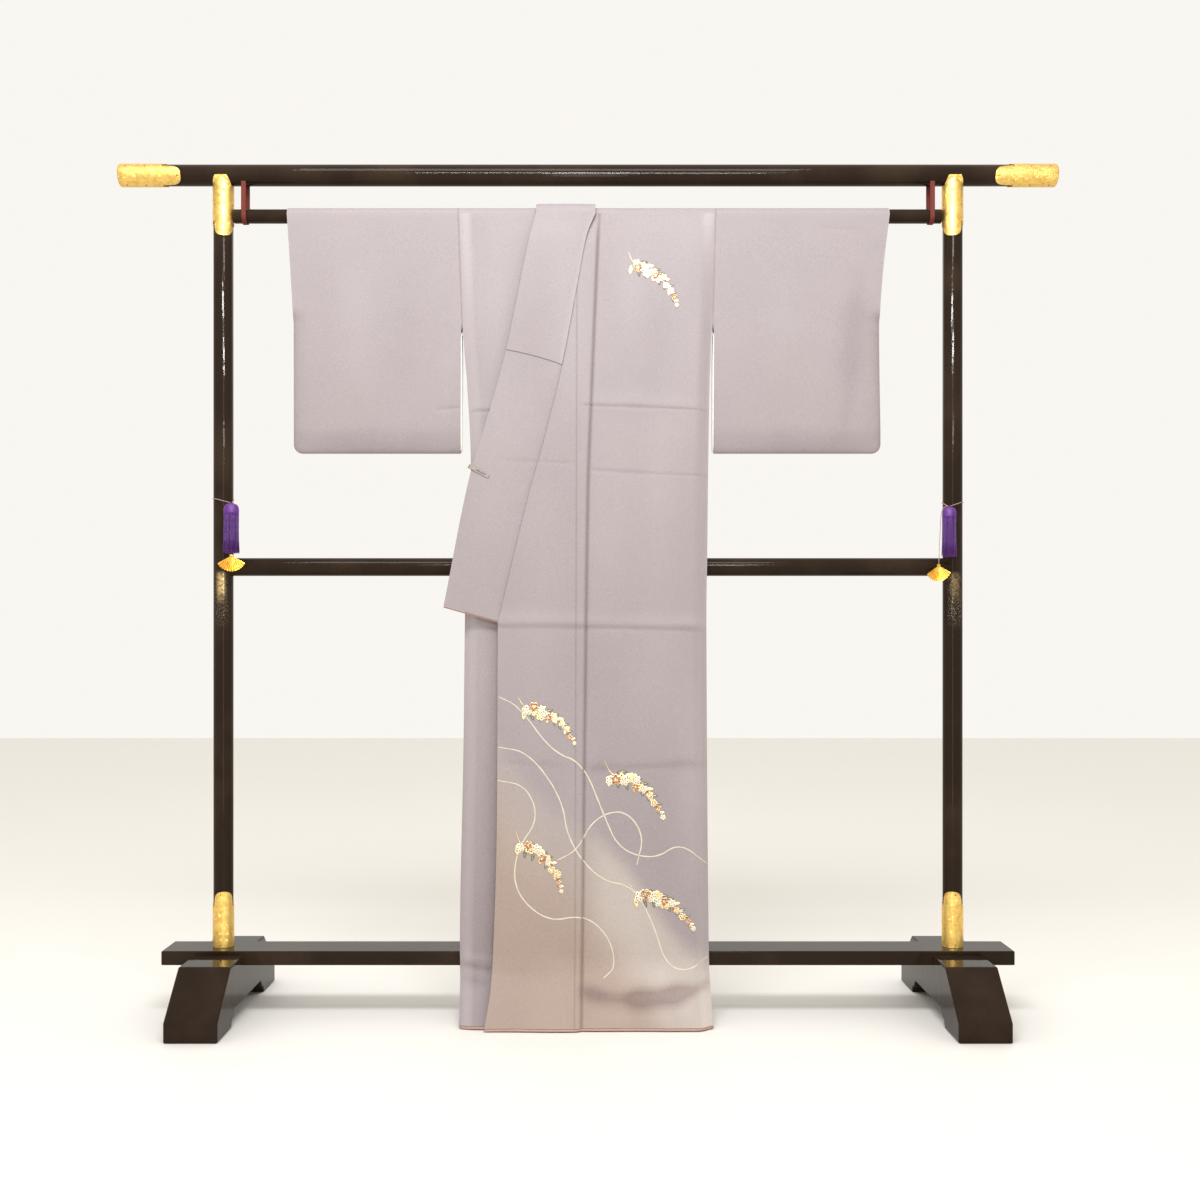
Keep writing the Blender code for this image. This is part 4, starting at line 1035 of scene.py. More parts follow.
    def depth(self, layer: Layer, x: Values, height: Values) -> Values:
        """Find the depth of a layer with its creases and swell.

        Args:
            layer: The layer.
            x: Places across.
            height: Their heights.

        Returns:
            The depths of the middle of its wall.
        """
        shared = {Layer.COLLAR: Layer.FRONT, Layer.UNDER_COLLAR: Layer.UNDER}.get(layer, layer)
        lift = SWELLS[shared].at(x, height)
        for crease in CREASES[shared]:
            lift = lift + crease.at(x, height)
        near = ease((self.side_x("left", height) - x) / 0.022 + 0.05)
        if shared is not Layer.FRONT:
            near = near * ease((x - self.side_x("right", height)) / 0.022 + 0.05)
        lift = lift * near * ease((self.rod_z - height) / 0.05)
        toward = 1.0 if layer is Layer.BACK else -1.0
        return self.plain_depth(layer, x, height) + toward * lift


SWELLS = {Layer.FRONT: Swell(11, 0.0011), Layer.UNDER: Swell(12, 0.0009),
          Layer.BACK: Swell(13, 0.0012)}
CREASES = {
    Layer.FRONT: creases(
        (-20, 1202, 262, 1190.5, 3.5, -1.1, 1, 0.06), (-20, 1212, 262, 1200, 16, 1.4, 1, 0.06),
        (0, 1074.5, 262, 1062, 4, -0.8, -2, 0.08), (-185, 1092, -10, 1086, 4, -0.5, 1, 0.25),
        (-195, 764, 262, 756, 6, -1.1, 2, 0.05, 0.6),
        (-195, 776, 262, 769, 12, 2, 2, 0.05, 0.9), (-30, 484, 262, 496, 9, -1.1, 0, 0.2),
        (-195, 502, -30, 490, 8, -0.6, 0, 0.3), (-30, 66, 255, 80, 12.5, -6.2, -23, 0.12, 2.8),
        (-10, 95, 240, 102, 18, 2.6, -12, 0.25), (-10, 30, 230, 36, 13, 2.2, -8, 0.25),
        (-200, 95, -20, 80, 16, -1.2, 0, 0.3), (60, 6, 75, 90, 14, 1.2, 0, 0.3),
        (175, 0, 160, 70, 10, -1.8, 0, 0.35), (75, 1540, 105, 1150, 28, 1.1, 6, 0.3),
        (165, 1360, 150, 820, 34, 1.2, -8, 0.3), (205, 740, 190, 140, 26, 1.3, 6, 0.3),
        (-100, 750, -95, 130, 32, 1.3, 4, 0.3), (-60, 1300, -150, 900, 24, -0.9, 4, 0.3)),
    Layer.UNDER: creases(
        (-262, 1193, -140, 1190, 3.5, -1, 0, 0.1), (-262, 1201, -140, 1199, 14, 1, 0, 0.1),
        (-262, 762, 240, 760, 4, -0.9, 0, 0.06), (-262, 108, -185, 95, 6, -1.6, 0, 0.12),
        (-262, 122, -180, 113, 8, 1.4, 0, 0.12), (-262, 80, -190, 72, 7, -1.2, 2, 0.2),
        (-262, 55, -195, 57, 8, 1.2, 0, 0.2), (-222, 720, -226, 140, 12, 1, 2, 0.3),
        (-180, 1500, -200, 1220, 18, 0.8, 4, 0.3)),
    Layer.BACK: creases(
        (-262, 1190, 262, 1198, 3.5, -1.1, 2, 0.05), (-262, 1200, 262, 1208, 16, 1.4, 2, 0.05),
        (-262, 1066, 262, 1060, 4, -0.7, 0, 0.15), (-262, 756, 262, 762, 3.5, -1.3, 2, 0.05),
        (-262, 766, 262, 773, 20, 1.6, 2, 0.05), (-240, 488, 150, 496, 8, -0.9, 0, 0.25),
        (-160, 1460, -135, 900, 28, 1.8, 8, 0.3), (130, 1420, 155, 700, 30, 1.7, -8, 0.3),
        (-120, 700, -140, 130, 28, 1.8, 6, 0.3), (180, 650, 165, 150, 26, 1.6, 6, 0.3),
        (-200, 70, 200, 60, 12, 1.6, -6, 0.2))}

EDGE_INSETS = np.array((0.0, 0.0010, 0.0022, 0.0040, 0.0070))
SEAM = 0.00004                   # half the gap between two sewn panels
CLOTH_WALL = 0.0014
NARROW = 0.0095                  # creases narrower than this need closer rows
FINE_ROWS = 17                   # on the half turn over the rod


def spread(first: float, last: float, count: int) -> Values:
    """Space columns across a panel, closer together at both edges.

    Args:
        first: The first edge.
        last: The last edge.
        count: How many columns lie between the close ones.

    Returns:
        The places across.
    """
    insets = EDGE_INSETS * min(1.0, abs(last - first) / 0.030) * math.copysign(1, last - first)
    lead, trail = first + insets, last - insets[::-1]
    return np.concatenate((lead, np.linspace(lead[-1], trail[0], count + 2)[1:-1], trail))


def seam_dip(distance: Values, deep: float = 0.0005, wide: float = 0.0022) -> Values:
    """Find how far cloth dips where it turns into a seam, by distance from it."""
    return deep * hump(distance, wide)


def seam_shade(distance: Values) -> Values:
    """Find how much shade is painted on cloth beside a seam, where it turns into the seam."""
    return 0.40 * hump(distance, 0.0016)


def places(kind: str, values: Sequence[float]) -> list[tuple[str, float]]:
    """List rows of one kind: their heights, or their shares of a turn."""
    return [(kind, float(value)) for value in values]


@dataclass
class Kimono:
    """The garment's body, overlaps, collar and hem rolls, panel by panel."""

    shop: Workshop
    drape: Drape
    body_columns: int = 34
    overlap_columns: int = 18
    collar_columns: int = 12
    row_step: float = 0.0085
    collar_low: float = 0.7765
    collar_wall: float = 0.0020
    over_collar_wall: float = 0.0013
    lining_wall: float = 0.0009
    roll_sides: int = 10
    # how strongly shade is painted on the cloth where soft light leaves it, or light where it
    # falls
    full_shade: tuple[float, float] = (0.0150, 0.0045)   # depth of a dark trough: wide, narrow
    turned_light: float = 0.60   # painted light where it turns to its side
    tuck_shade: float = 0.70     # along the ridge's fold line
    floor_shade: tuple[float, float] = (0.16, 1.15)      # painted shade towards the floor, and from what height
    # painted shadow that the overlap's free edge casts on the right front: how dark, how far out
    # and how wide
    edge_shade: tuple[float, float, float] = (0.30, 0.186, 0.014)
    behind_shade: tuple[float, float] = (0.22, 0.50)     # painted shade low on it, and from what height
    # the dye's edge at front and back: its height, and how much it falls or rises across
    front_edge: tuple[float, float] = (0.338, 1.02)
    back_edge: tuple[float, float] = (-0.16, 0.30)

    # ---- rows of points, each with its marks

    def marked(self, x: Values, y: Values | float, z: Values | float,
               shade: Values | float = 0.0, dye: Values | float = -1.0,
               pale: Values | float = 0.0) -> Values:
        """Join places and marks into a row: shade is painted shade, dye is the depth below its
        edge.
        """
        parts = [np.broadcast_to(part, np.shape(x)) for part in (x, y, z, shade, dye, pale)]
        return np.stack(parts, axis=-1)

    def heights(self, layer: Layer, low: float, high: float) -> Values:
        """Space the rows of a panel, with closer ones along the layer's narrow creases."""
        fine = [crease.height for crease in CREASES[layer] if crease.width < NARROW]
        return graded(low, high, self.row_step, fine)

    def trough_shade(self, layer: Layer, x: Values, z: Values | float) -> Values:
        """Find the shade painted into a layer's troughs, and the light painted on its turned
        edges.

        Args:
            layer: The layer.
            x: Places across.
            z: Heights.

        Returns:
            The painted shade; below 0, painted light.
        """
        drape = self.drape
        total = np.zeros(np.broadcast(x, z).shape)
        for crease in CREASES[layer]:
            narrow = crease.rise < 0.0 and crease.width < 0.010
            total -= crease.tone * crease.at(x, z) / self.full_shade[narrow]
        total -= SWELLS[layer].at(x, z) / self.full_shade[0]
        shade, top = self.floor_shade
        total += shade * ease((top - z) / top)
        if layer is Layer.BACK:
            return total
        room = (drape.side_x("left", z) - x if layer is Layer.FRONT
                else x - drape.side_x("right", z))
        share = np.clip(room / drape.edge_blend, 0.0, 1.0)
        total -= 4.0 * self.turned_light * share * (1.0 - share)
        if layer is Layer.FRONT:
            return total + self.tuck_shade * drape.tuck_share(x, z)
        shade, middle, wide = self.edge_shade
        total += shade * hump(x + middle, wide) * ease((0.80 - z) / 0.04)
        shade, top = self.behind_shade
        return total + shade * ease((top - z) / 0.40)

    def dye(self, layer: Layer, x: Values, z: float) -> tuple[Values, Values]:
        """Find where the hem's dye lies: its edge falls across the front, and is low behind.

        Args:
            layer: Front or back.
            x: Places across.
            z: Their height.

        Returns:
            How far below the dye's edge each point lies, and how pale that edge is.
        """
        if layer is Layer.BACK:
            height, rise = self.back_edge
            edge = height + rise * ease((x + 0.26) / 0.34) + 0.014 * np.sin(x * 26.0)
            return edge - z, np.full(np.shape(x), 0.55)
        height, fall = self.front_edge
        edge = height - fall * x + 0.016 * np.sin(x * 21.0 + 0.6)
        return edge - z, 0.30 + 0.62 * ease((x + 0.020) / 0.060)

    def cloth(self, name: str, rows: Sequence[Values], nodes: Sequence[str],
              outer: Finish, wall: float = CLOTH_WALL,
              keep: Callable[[int, int], bool] | None = None) -> Piece:
        """Sew rows of points into a panel that is lined in white.

        Args:
            name: The piece's name.
            rows: The rows, each point with its marks.
            nodes: The nodes that it stands for.
            outer: The finish outside.
            wall: The cloth's thickness.
            keep: Says which cells are cloth.

        Returns:
            The piece.
        """
        piece = self.shop.grid_piece(name, np.stack(rows), outer,
                                     self.shop.palette.white_lining, keep=keep)
        self.shop.thicken(piece, wall, 0.15 * wall, True)
        return self.shop.book(piece, "silk_mauve", *nodes)

    # ---- body panels

    def front_x(self, side: str, z: float) -> Values:
        """Place a front's columns, from its side to its seam.

        Args:
            side: Left or right.
            z: The row's height.

        Returns:
            The places across; on the left some follow the long ridge beside the seam.
        """
        drape, high = self.drape, z >= self.drape.overlap_tip_z
        outer = float(drape.side_x(side, z))
        if side == "right":
            edge = float(drape.under_collar_seam(z)) if high else drape.under_seam_x
            return spread(outer, edge - SEAM, self.body_columns)
        edge = float((drape.collar_seam if high else drape.overlap_seam)(z)) + SEAM
        foot = float(drape.ridge(z)) + drape.step_width / 2
        crest = max(foot - drape.step_width, between(edge, foot, 0.4))
        return np.concatenate((
            spread(outer, foot, self.body_columns), np.linspace(foot, crest, 8)[1:],
            between(crest, edge, np.array((0.3, 0.55, 0.75, 0.88, 0.96, 1.0)))))

    def body_row(self, side: str, kind: str, value: float) -> Values:
        """Place one row of a body panel.

        Args:
            side: Left or right.
            kind: Front, over or back.
            value: The row's height, or its share of the way over the rod.

        Returns:
            The row, with the columns of the centre-back fold at its end.
        """
        drape, left = self.drape, side == "left"
        top = self.front_x(side, drape.rod_z)
        fold_x, layers = self.fold(side)
        beside_sleeve = float(ease((value - drape.armhole_z + 0.01) / 0.02))
        if kind == "back":
            outer = float(drape.side_x(side, value))
            x = np.concatenate((np.linspace(outer, top[-1], len(top)), fold_x))
            layers = np.concatenate((np.zeros(len(top)), layers))
            if not left:
                under = ease((x + 0.120) / 0.070) * float(
                    ease((drape.rod_z - value) / (drape.rod_z - drape.neck_z)))
                layers = 2.0 * under - layers
            y = drape.depth(Layer.BACK, x, value) - layers * drape.fold_pitch
            near = np.abs(x - x[0])
            shade = beside_sleeve * seam_shade(near) + self.trough_shade(Layer.BACK, x, value)
            return self.marked(x, y - seam_dip(near) * beside_sleeve, value, shade,
                               *self.dye(Layer.BACK, x, value))
        if kind == "over":
            back = np.linspace(float(drape.side_x(side, drape.rod_z)), top[-1], len(top))
            x = between(top, back, ease(value))
            near = np.minimum(np.abs(x - x[0]), np.abs(x - x[-1]))
            row = self.marked(x, *drape.over_rod(drape.wrap, value), seam_shade(near))
        else:
            layer = Layer.FRONT if left else Layer.UNDER
            x = self.front_x(side, value)
            dip = seam_dip(x[-1] - x) + seam_dip(x - x[0]) * beside_sleeve
            dip = dip * float(ease((drape.rod_z - value) / 0.02))
            shade = seam_shade(x[-1] - x) + beside_sleeve * seam_shade(x - x[0])
            shade = shade + self.trough_shade(layer, x, value)
            row = self.marked(x, drape.depth(layer, x, value) + dip, value, shade,
                              *(self.dye(layer, x, value) if left else ()))
        return np.concatenate((row, np.repeat(row[-1:], len(fold_x), axis=0)))

    def fold(self, side: str) -> tuple[Values, Values]:
        """Place the columns of the flat fold at the centre back.

        Args:
            side: Left or right.

        Returns:
            The places across, and how many layers deep each lies.
        """
        drape, turn = self.drape, self.drape.fold_pitch / 2
        toward = -1.0 if side == "left" else 1.0
        reach = drape.fold_half - turn
        seam = drape.collar_seam if side == "left" else drape.under_collar_seam
        arc = np.linspace(0.0, math.pi, 9)
        lead = np.linspace(float(seam(drape.rod_z)), toward * reach, 12)[1:-1]
        tail = np.linspace(toward * reach, toward * SEAM, 6)[1:]
        x = np.concatenate((lead, toward * (reach + turn * np.sin(arc)), tail))
        return x, np.concatenate((0.0 * lead, (1.0 - np.cos(arc)) / 2, np.ones(len(tail))))

    def build_body(self) -> list[Piece]:
        """Make both body panels, each in one length from hem to hem.

        Returns:
            The panels.
        """
        drape, made = self.drape, []
        for side, layer in (("left", Layer.FRONT), ("right", Layer.UNDER)):
            spots = (places("front", self.heights(layer, drape.hem_z, drape.rod_z))
                     + places("over", np.linspace(0.0, 1.0, FINE_ROWS)[1:])
                     + places("back", np.linspace(drape.rod_z, drape.neck_z, 5)[1:-1]))
            neck, main = len(spots), len(self.front_x(side, 1.0)) - 1
            spots += places("back", self.heights(Layer.BACK, drape.hem_z, drape.neck_z)[::-1])
            made.append(self.cloth(
                "silk_body_" + side, [self.body_row(side, *spot) for spot in spots],
                ("body_" + side + "_front", "body_" + side + "_back"),
                self.shop.palette.dyed_crepe,
                keep=lambda j, i, main=main, neck=neck: i < main or j >= neck))
        return made

    # ---- overlap panels

    def build_overlaps(self) -> list[Piece]:
        """Make both overlap panels.

        Returns:
            The panels.
        """
        drape, dyed = self.drape, self.shop.palette.dyed_crepe
        top = drape.overlap_tip_z - 0.003
        left, right = [], []
        for z in map(float, self.heights(Layer.FRONT, drape.hem_z, top)):
            low = z < self.collar_low
            outer = float((drape.overlap_free if low else drape.collar_seam)(z))
            x = spread(outer if low else outer + SEAM, float(drape.overlap_seam(z)) - SEAM,
                       self.overlap_columns)
            dip = seam_dip(x[-1] - x, 0.0003, 0.0012)
            shade = 0.8 * seam_shade(x[-1] - x) + self.trough_shade(Layer.FRONT, x, z)
            if not low:
                dip = dip + seam_dip(x - x[0])
                shade = shade + seam_shade(x - x[0])
            y = drape.depth(Layer.FRONT, x, z) + dip - drape.bulge(x, z)
            left.append(self.marked(x, y, z, shade, *self.dye(Layer.FRONT, x, z)))
        for z in map(float, graded(drape.hem_z, top, 0.014)):
            outer = (drape.under_free_x if z < self.collar_low
                     else float(drape.under_collar_seam(z)) - SEAM)
            x = spread(drape.under_seam_x + SEAM, outer, 8)
            right.append(self.marked(x, drape.depth(Layer.UNDER, x, z), z))
        return [self.cloth("silk_overlap_left", left, ("overlap_left",), dyed),
                self.cloth("silk_overlap_right", right, ("overlap_right",), dyed)]

    # ---- collar

    def turned_row(self, kind: str, value: float, x: Values, radius: Values | float) -> Values:
        """Place a collar's row on its turn over the rod, or hanging level behind it."""
        y, z = (radius, value) if kind == "back" else self.drape.over_rod(radius, value)
        return self.marked(x, y, z)

    def collar_row(self, kind: str, value: float, lift: Values | float = 0.0,
                   slant: float = 0.0) -> Values:
        """Place one row across the left collar.

        Args:
            kind: Front, over or back.
            value: The height at the seam, or the share of the way over the rod.
            lift: How far out from the collar's middle.
            slant: How much the row rises towards the free edge, besides its own rise.

        Returns:
            The row.
        """
        drape = self.drape
        share = np.unique(np.clip(spread(0.0, 1.0, self.collar_columns), 0.0, 1.0))
        lift = lift + 0.0009 * (1.0 - np.abs(2.0 * share - 1.0) ** 6)
        if kind != "front":
            x = between(float(drape.collar_free(drape.rod_z)),
                        float(drape.collar_seam(drape.rod_z)) - SEAM, share)
            return self.turned_row(kind, value, x, drape.collar_wrap + lift)
        free_z = self.free_z(value) + slant
        x = between(float(drape.collar_free(free_z)), float(drape.collar_seam(value)) - SEAM,
                    share)
        z = between(free_z, value, share) + 0.6 * slant * share * (1.0 - share)
        # beside the seam: painted shade on the collar, a painted highlight on the over-collar
        edge = 0.6 if float(np.max(lift)) < self.over_collar_wall else -0.9
        shade = edge * seam_shade((1.0 - share) * float(x[-1] - x[0]))
        shade = shade + self.trough_shade(Layer.FRONT, x, z)
        return self.marked(x, drape.depth(Layer.COLLAR, x, z) - lift, z, shade)

    def free_z(self, seam_z: float) -> float:
        """Find the height at the left collar's free edge of a row, from that at its seam."""
        low, top = self.drape.collar_free.places[0], self.drape.rod_z
        return between(low, top, (seam_z - self.collar_low) / (top - self.collar_low))

    def under_collar_row(self, kind: str, value: float) -> Values:
        """Place one row across the right collar, which the left front hides.

        Args:
            kind: Front, over or back.
            value: The height, or the share of the way over the rod.

        Returns:
            The row.
        """
        drape = self.drape
        level = value if kind == "front" else drape.rod_z
        x = between(float(drape.under_collar_seam(level)) + SEAM,
                    float(drape.under_collar_free(level)), np.linspace(0.0, 1.0, 7))
        if kind == "front":
            return self.marked(x, drape.depth(Layer.UNDER_COLLAR, x, value), value)
        return self.turned_row(kind, value, x, drape.under_collar_wrap)

    def build_collar(self) -> list[Piece]:
        """Make the collar's two lengths, the over-collar and the lining at the end.

        Returns:
            The pieces.
        """
        drape, crepe = self.drape, self.shop.palette.crepe
        turn = (places("over", np.linspace(0.0, 1.0, FINE_ROWS)[1:])
                + places("back", (1.578, 1.570, 1.560, 1.550, 1.543)))
        whole = places("front", self.heights(Layer.FRONT, self.collar_low, drape.rod_z)) + turn
        left = self.cloth("silk_collar_left", [self.collar_row(*spot) for spot in whole],
                          ("collar_left",), crepe, self.collar_wall)
        right = self.cloth("silk_collar_right",
                           [self.under_collar_row(*spot) for spot in whole],
                           ("collar_right",), crepe, self.collar_wall)
        free_end, seam_end = drape.over_collar_end
        lift = (self.collar_wall + self.over_collar_wall) / 2 + GAP
        rows = []
        for kind, value in places("front", graded(seam_end, drape.rod_z, self.row_step,
                                                  (seam_end,), 0.006)) + turn:
            fade = float(1.0 - ease((value - seam_end) / 0.13)) if kind == "front" else 0.0
            rows.append(self.collar_row(kind, value, lift,
                                        (free_end - self.free_z(seam_end)) * fade))
        over = self.cloth("silk_over_collar", rows, ("over_collar",), crepe,
                          self.over_collar_wall)
        rows = []
        for drop in (0.0034, 0.0026, 0.0015, 0.0004):
            rows.append(self.collar_row("front", self.collar_low, -0.0004))
            rows[-1][:, 2] -= drop
        end = self.shop.grid_piece("russet_collar_end", np.stack(rows),
                                   self.shop.palette.russet_lining)
        self.shop.thicken(end, 0.0018, 0.15 * 0.0018)
        return [left, right, over, self.shop.book(end, "silk_russet", "collar_end_lining")]

    # ---- rolled hem

    def roll(self, ends: str, path: Values, slope: Values) -> Piece:
        """Make a stretch of the lining's roll along the hem.

        Args:
            ends: Its side and layer, as its name has them.
            path: The points along its middle.
            slope: How far the cloth's depth changes with height at each.

        Returns:
            The piece.
        """
        angles = np.linspace(0.0, TURN, self.roll_sides + 1)[:-1]
        rows = []
        for point, lean, along in zip(path, slope, np.gradient(path, axis=0)):
            down = np.array((0.0, lean, 1.0)) / math.hypot(lean, 1.0)
            out = np.cross(down, along)
            tall = 0.0024 * (1.0 + 0.04 * math.sin(point[0] * 90.0))
            rows.append(point + tall * np.outer(np.cos(angles), down)
                        + 0.0009 * np.outer(np.sin(angles), out / np.linalg.norm(out)))
        piece = self.shop.mesh_piece("russet_hem_" + ends, np.concatenate(rows),
                                     tube_faces(0, len(rows), self.roll_sides),
                                     self.shop.palette.hem_lining)
        return self.shop.book(piece, "silk_russet", "hem_roll_" + ends)

    def build_hem(self) -> list[Piece]:
        """Make the rolled lining edge along each panel's hem.

        Returns:
            The pieces.
        """
        drape, made = self.drape, []
        middle, back_middle, above = 0.0040, 0.0034, 0.02
        for side, layer, low, high in (
                ("left", Layer.FRONT, float(drape.overlap_free(0.0)),
                 float(drape.side_x("left", 0.0))),
                ("right", Layer.UNDER, float(drape.side_x("right", 0.0)),
                 drape.under_free_x)):
            x = np.linspace(low + 0.0002, high - 0.0002, 60)
            y = drape.depth(layer, x, middle)
            slope = (drape.depth(layer, x, above) - y) / (above - middle)
            made.append(self.roll(side + "_front",
                                  np.stack((x, y, np.full_like(x, middle)), axis=-1), slope))
        for side in ("left", "right"):
            row, high_row = (self.body_row(side, "back", z)[:, :3]
                             for z in (back_middle, above))
            slope = (high_row[:, 1] - row[:, 1]) / (above - back_middle)
            made.append(self.roll(side + "_back", row, slope))
        return made


@dataclass
class Sleeve:
    """One sleeve: a folded cloth, open at the cuff and along its inner lower edge."""

    shop: Workshop
    drape: Drape
    side: str
    bottom_z: float = 1.1120
    fold_z: float = 1.140
    round_z: float = 1.290
    corner: float = 0.018
    closing: float = 0.040
    lining_top: float = 1.350
    lining_past: float = 0.0009  # how far the lining stands out of the sleeve's inner edge
    bare: float = 0.0022         # how far the silk stops short of that edge
    full_shade: float = 0.0100   # depth of a crease at which its painted shade is full
    # painted shade on the folded bottom: how dark at its ends, and how much more at its middle
    low_shade: tuple[float, float] = (0.24, 0.30)
    depths: dict[str, Track] = field(default_factory=lambda: tracks(
        ("height", "front", "back"), (1112, -8, 7), (1200, -10.5, 8.5), (1375, -13, 10.5),
        (1586, -15.5, 15.5)))
    outer: dict[str, Track] = field(default_factory=lambda: tracks(
        ("height", "right", "left"), (1112, -587.5, 584.5), (1375, -587.7, 581.2),
        (1470, -592, 586.8), (1586, -599, 600)))

    def span(self, z: float) -> tuple[float, float]:
        """Find the outer and inner edge at a height.

        Args:
            z: The height.

        Returns:
            The two places across.
        """
        armhole_z = self.drape.armhole_z
        outer = float(self.outer[self.side](z))
        seam = float(self.drape.side_x(self.side, max(z, armhole_z)))
        seam += math.copysign(2.0 * SEAM, outer)
        if z >= armhole_z:
            return outer, seam
        share = (armhole_z - z) / (armhole_z - self.bottom_z)
        return outer, between(seam, SLEEVE_INNER_LOW[self.side], share)

    def row(self, outer_insets: Values, inner_insets: Values, kind: str, value: float,
            shrink: float = 0.0) -> Values:
        """Place one row along the sleeve.

        Args:
            outer_insets: Distances in from the outer edge.
            inner_insets: Distances in from the inner edge, which come after those.
            kind: Front, over, back or fold.
            value: The row's height, or its share of the turn.
            shrink: How far inside the cloth's middle the row lies.

        Returns:
            The row.
        """
        drape, low = self.drape, self.fold_z
        z = {"fold": low, "over": drape.rod_z}.get(kind, value)
        outer, inner = self.span(z)
        if not shrink:
            inner += math.copysign(self.bare, inner) * float(
                ease((drape.armhole_z - 0.005 - z) / 0.030))
        wide = abs(inner - outer)
        from_outer = np.concatenate((outer_insets, wide - inner_insets))
        from_seam = wide - from_outer
        x = outer + math.copysign(1.0, inner - outer) * from_outer
        beside = float(ease((z - drape.armhole_z + 0.01) / 0.02))
        # painted shade beside the armhole seam, and a painted highlight along the outer edge
        shade = beside * seam_shade(from_seam) - 0.7 * seam_shade(from_outer)
        if kind == "over":
            y, z = (np.full_like(x, part) for part in drape.over_rod(drape.wrap - shrink, value))
            return np.stack((x, y, z, shade), axis=-1)
        across = np.clip(self.corner - from_outer, 0.0, None)
        rise = self.corner - np.sqrt(np.clip(self.corner ** 2 - across ** 2, 0.0, None))
        shut = float(ease((drape.armhole_z + 0.030 - z) / 0.030))
        near = np.clip(1.0 - from_outer / self.closing, 0.0, None) * shut
        opened = np.sqrt(np.clip(1.0 - near ** 2, 0.0, None))
        front, back = float(self.depths["front"](z)), float(self.depths["back"](z))
        lift = Swell(21 if self.side == "right" else 22, 0.0008).at(x, z)
        for crease in SLEEVE_CREASES[self.side]:
            lift = lift + crease.at(x, z)
            # painted shade in the creases' troughs, painted light on their ridges
            shade = shade - crease.tone * crease.at(x, z) / self.full_shade
        lift = lift * ease(from_outer / 0.03) * float(ease((drape.rod_z - z) / 0.05))
        lift = lift * (1.0 - beside * (1.0 - ease(from_seam / 0.02)))
        middle = (front + back) / 2
        half = (back - front) / 2 * opened - shrink + lift - seam_dip(from_seam) * beside
        share = np.clip(from_outer / wide, 0.0, 1.0)
        low_shade = self.low_shade[0] + self.low_shade[1] * np.sin(np.pi * share) ** 1.5
        if kind == "fold":
            angle = math.pi * value
            drop = low - self.bottom_z - 1.5 * shrink
            # painted shade on the folded bottom, with a painted highlight where it turns
            shade = shade + low_shade - 0.5 * math.sin(angle) ** 2
            down = drop * between(1.0, math.sin(angle), opened)
            return np.stack((x, middle + half * math.cos(angle), low + rise - down, shade),
                            axis=-1)
        # painted shade in a band just above the fold
        shade = shade + low_shade * math.exp(-(max(z - low, 0.0) / 0.017) ** 2)
        fade = float(ease((self.round_z - z) / (self.round_z - low)))
        toward = -1.0 if kind == "front" else 1.0
        return np.stack((x, middle + toward * half, z + rise * fade, shade), axis=-1)

    def build(self) -> list[Piece]:
        """Make the sleeve and the lining that shows at its open inner edge.

        Returns:
            Both pieces.
        """
        shop, palette = self.shop, self.shop.palette
        outer_insets = np.concatenate((
            (0.0, 0.0007, 0.0018, 0.0035, 0.0055, 0.008, 0.011, 0.0145, 0.018, 0.023, 0.030),
            np.linspace(0.040, 0.300, 38)))
        inner_insets = np.array((0.026, 0.017, 0.010, 0.0055, 0.0026, 0.0011, 0.0))
        up = graded(self.fold_z, self.drape.rod_z, 0.008, (1.20, 1.556))
        fold = places("fold", np.linspace(0.0, 1.0, 13)[1:-1])
        spots = (places("front", up) + places("over", np.linspace(0.0, 1.0, FINE_ROWS)[1:])
                 + places("back", up[:-1][::-1]) + fold)
        sleeve = shop.grid_piece(
            "silk_sleeve_" + self.side,
            np.stack([self.row(outer_insets, inner_insets, *spot) for spot in spots]),
            palette.crepe, palette.white_lining, wrap=(True, False))
        shop.weld(sleeve)
        shop.thicken(sleeve, CLOTH_WALL, 0.0004, True)
        shop.book(sleeve, "silk_mauve", "sleeve_" + self.side)

        shrink = (CLOTH_WALL + Kimono.lining_wall) / 2 + 2.0 * GAP
        up = np.linspace(self.lining_top, self.fold_z, 24)
        past = np.array((0.0, 0.0, 0.0, 0.0006, self.lining_past))
        insets = np.array((0.0240, 0.0120, 0.0040, 0.0012, 0.0))
        rows = []
        for kind, value in places("back", up) + fold + places("front", up[::-1]):
            row = self.row(np.empty(0), insets, kind, value, shrink)
            grown = 1.0 if kind == "fold" else float(ease((self.lining_top - value) / 0.06))
            row[:, 0] += math.copysign(1.0, row[-1, 0] - row[0, 0]) * past * grown
            rows.append(row)
        lining = shop.grid_piece("white_lining_" + self.side, np.stack(rows),
                                 palette.white_lining)
        shop.thicken(lining, Kimono.lining_wall, 0.0003)
        shop.book(lining, "silk_white", "sleeve_lining_" + self.side)
        return [sleeve, lining]


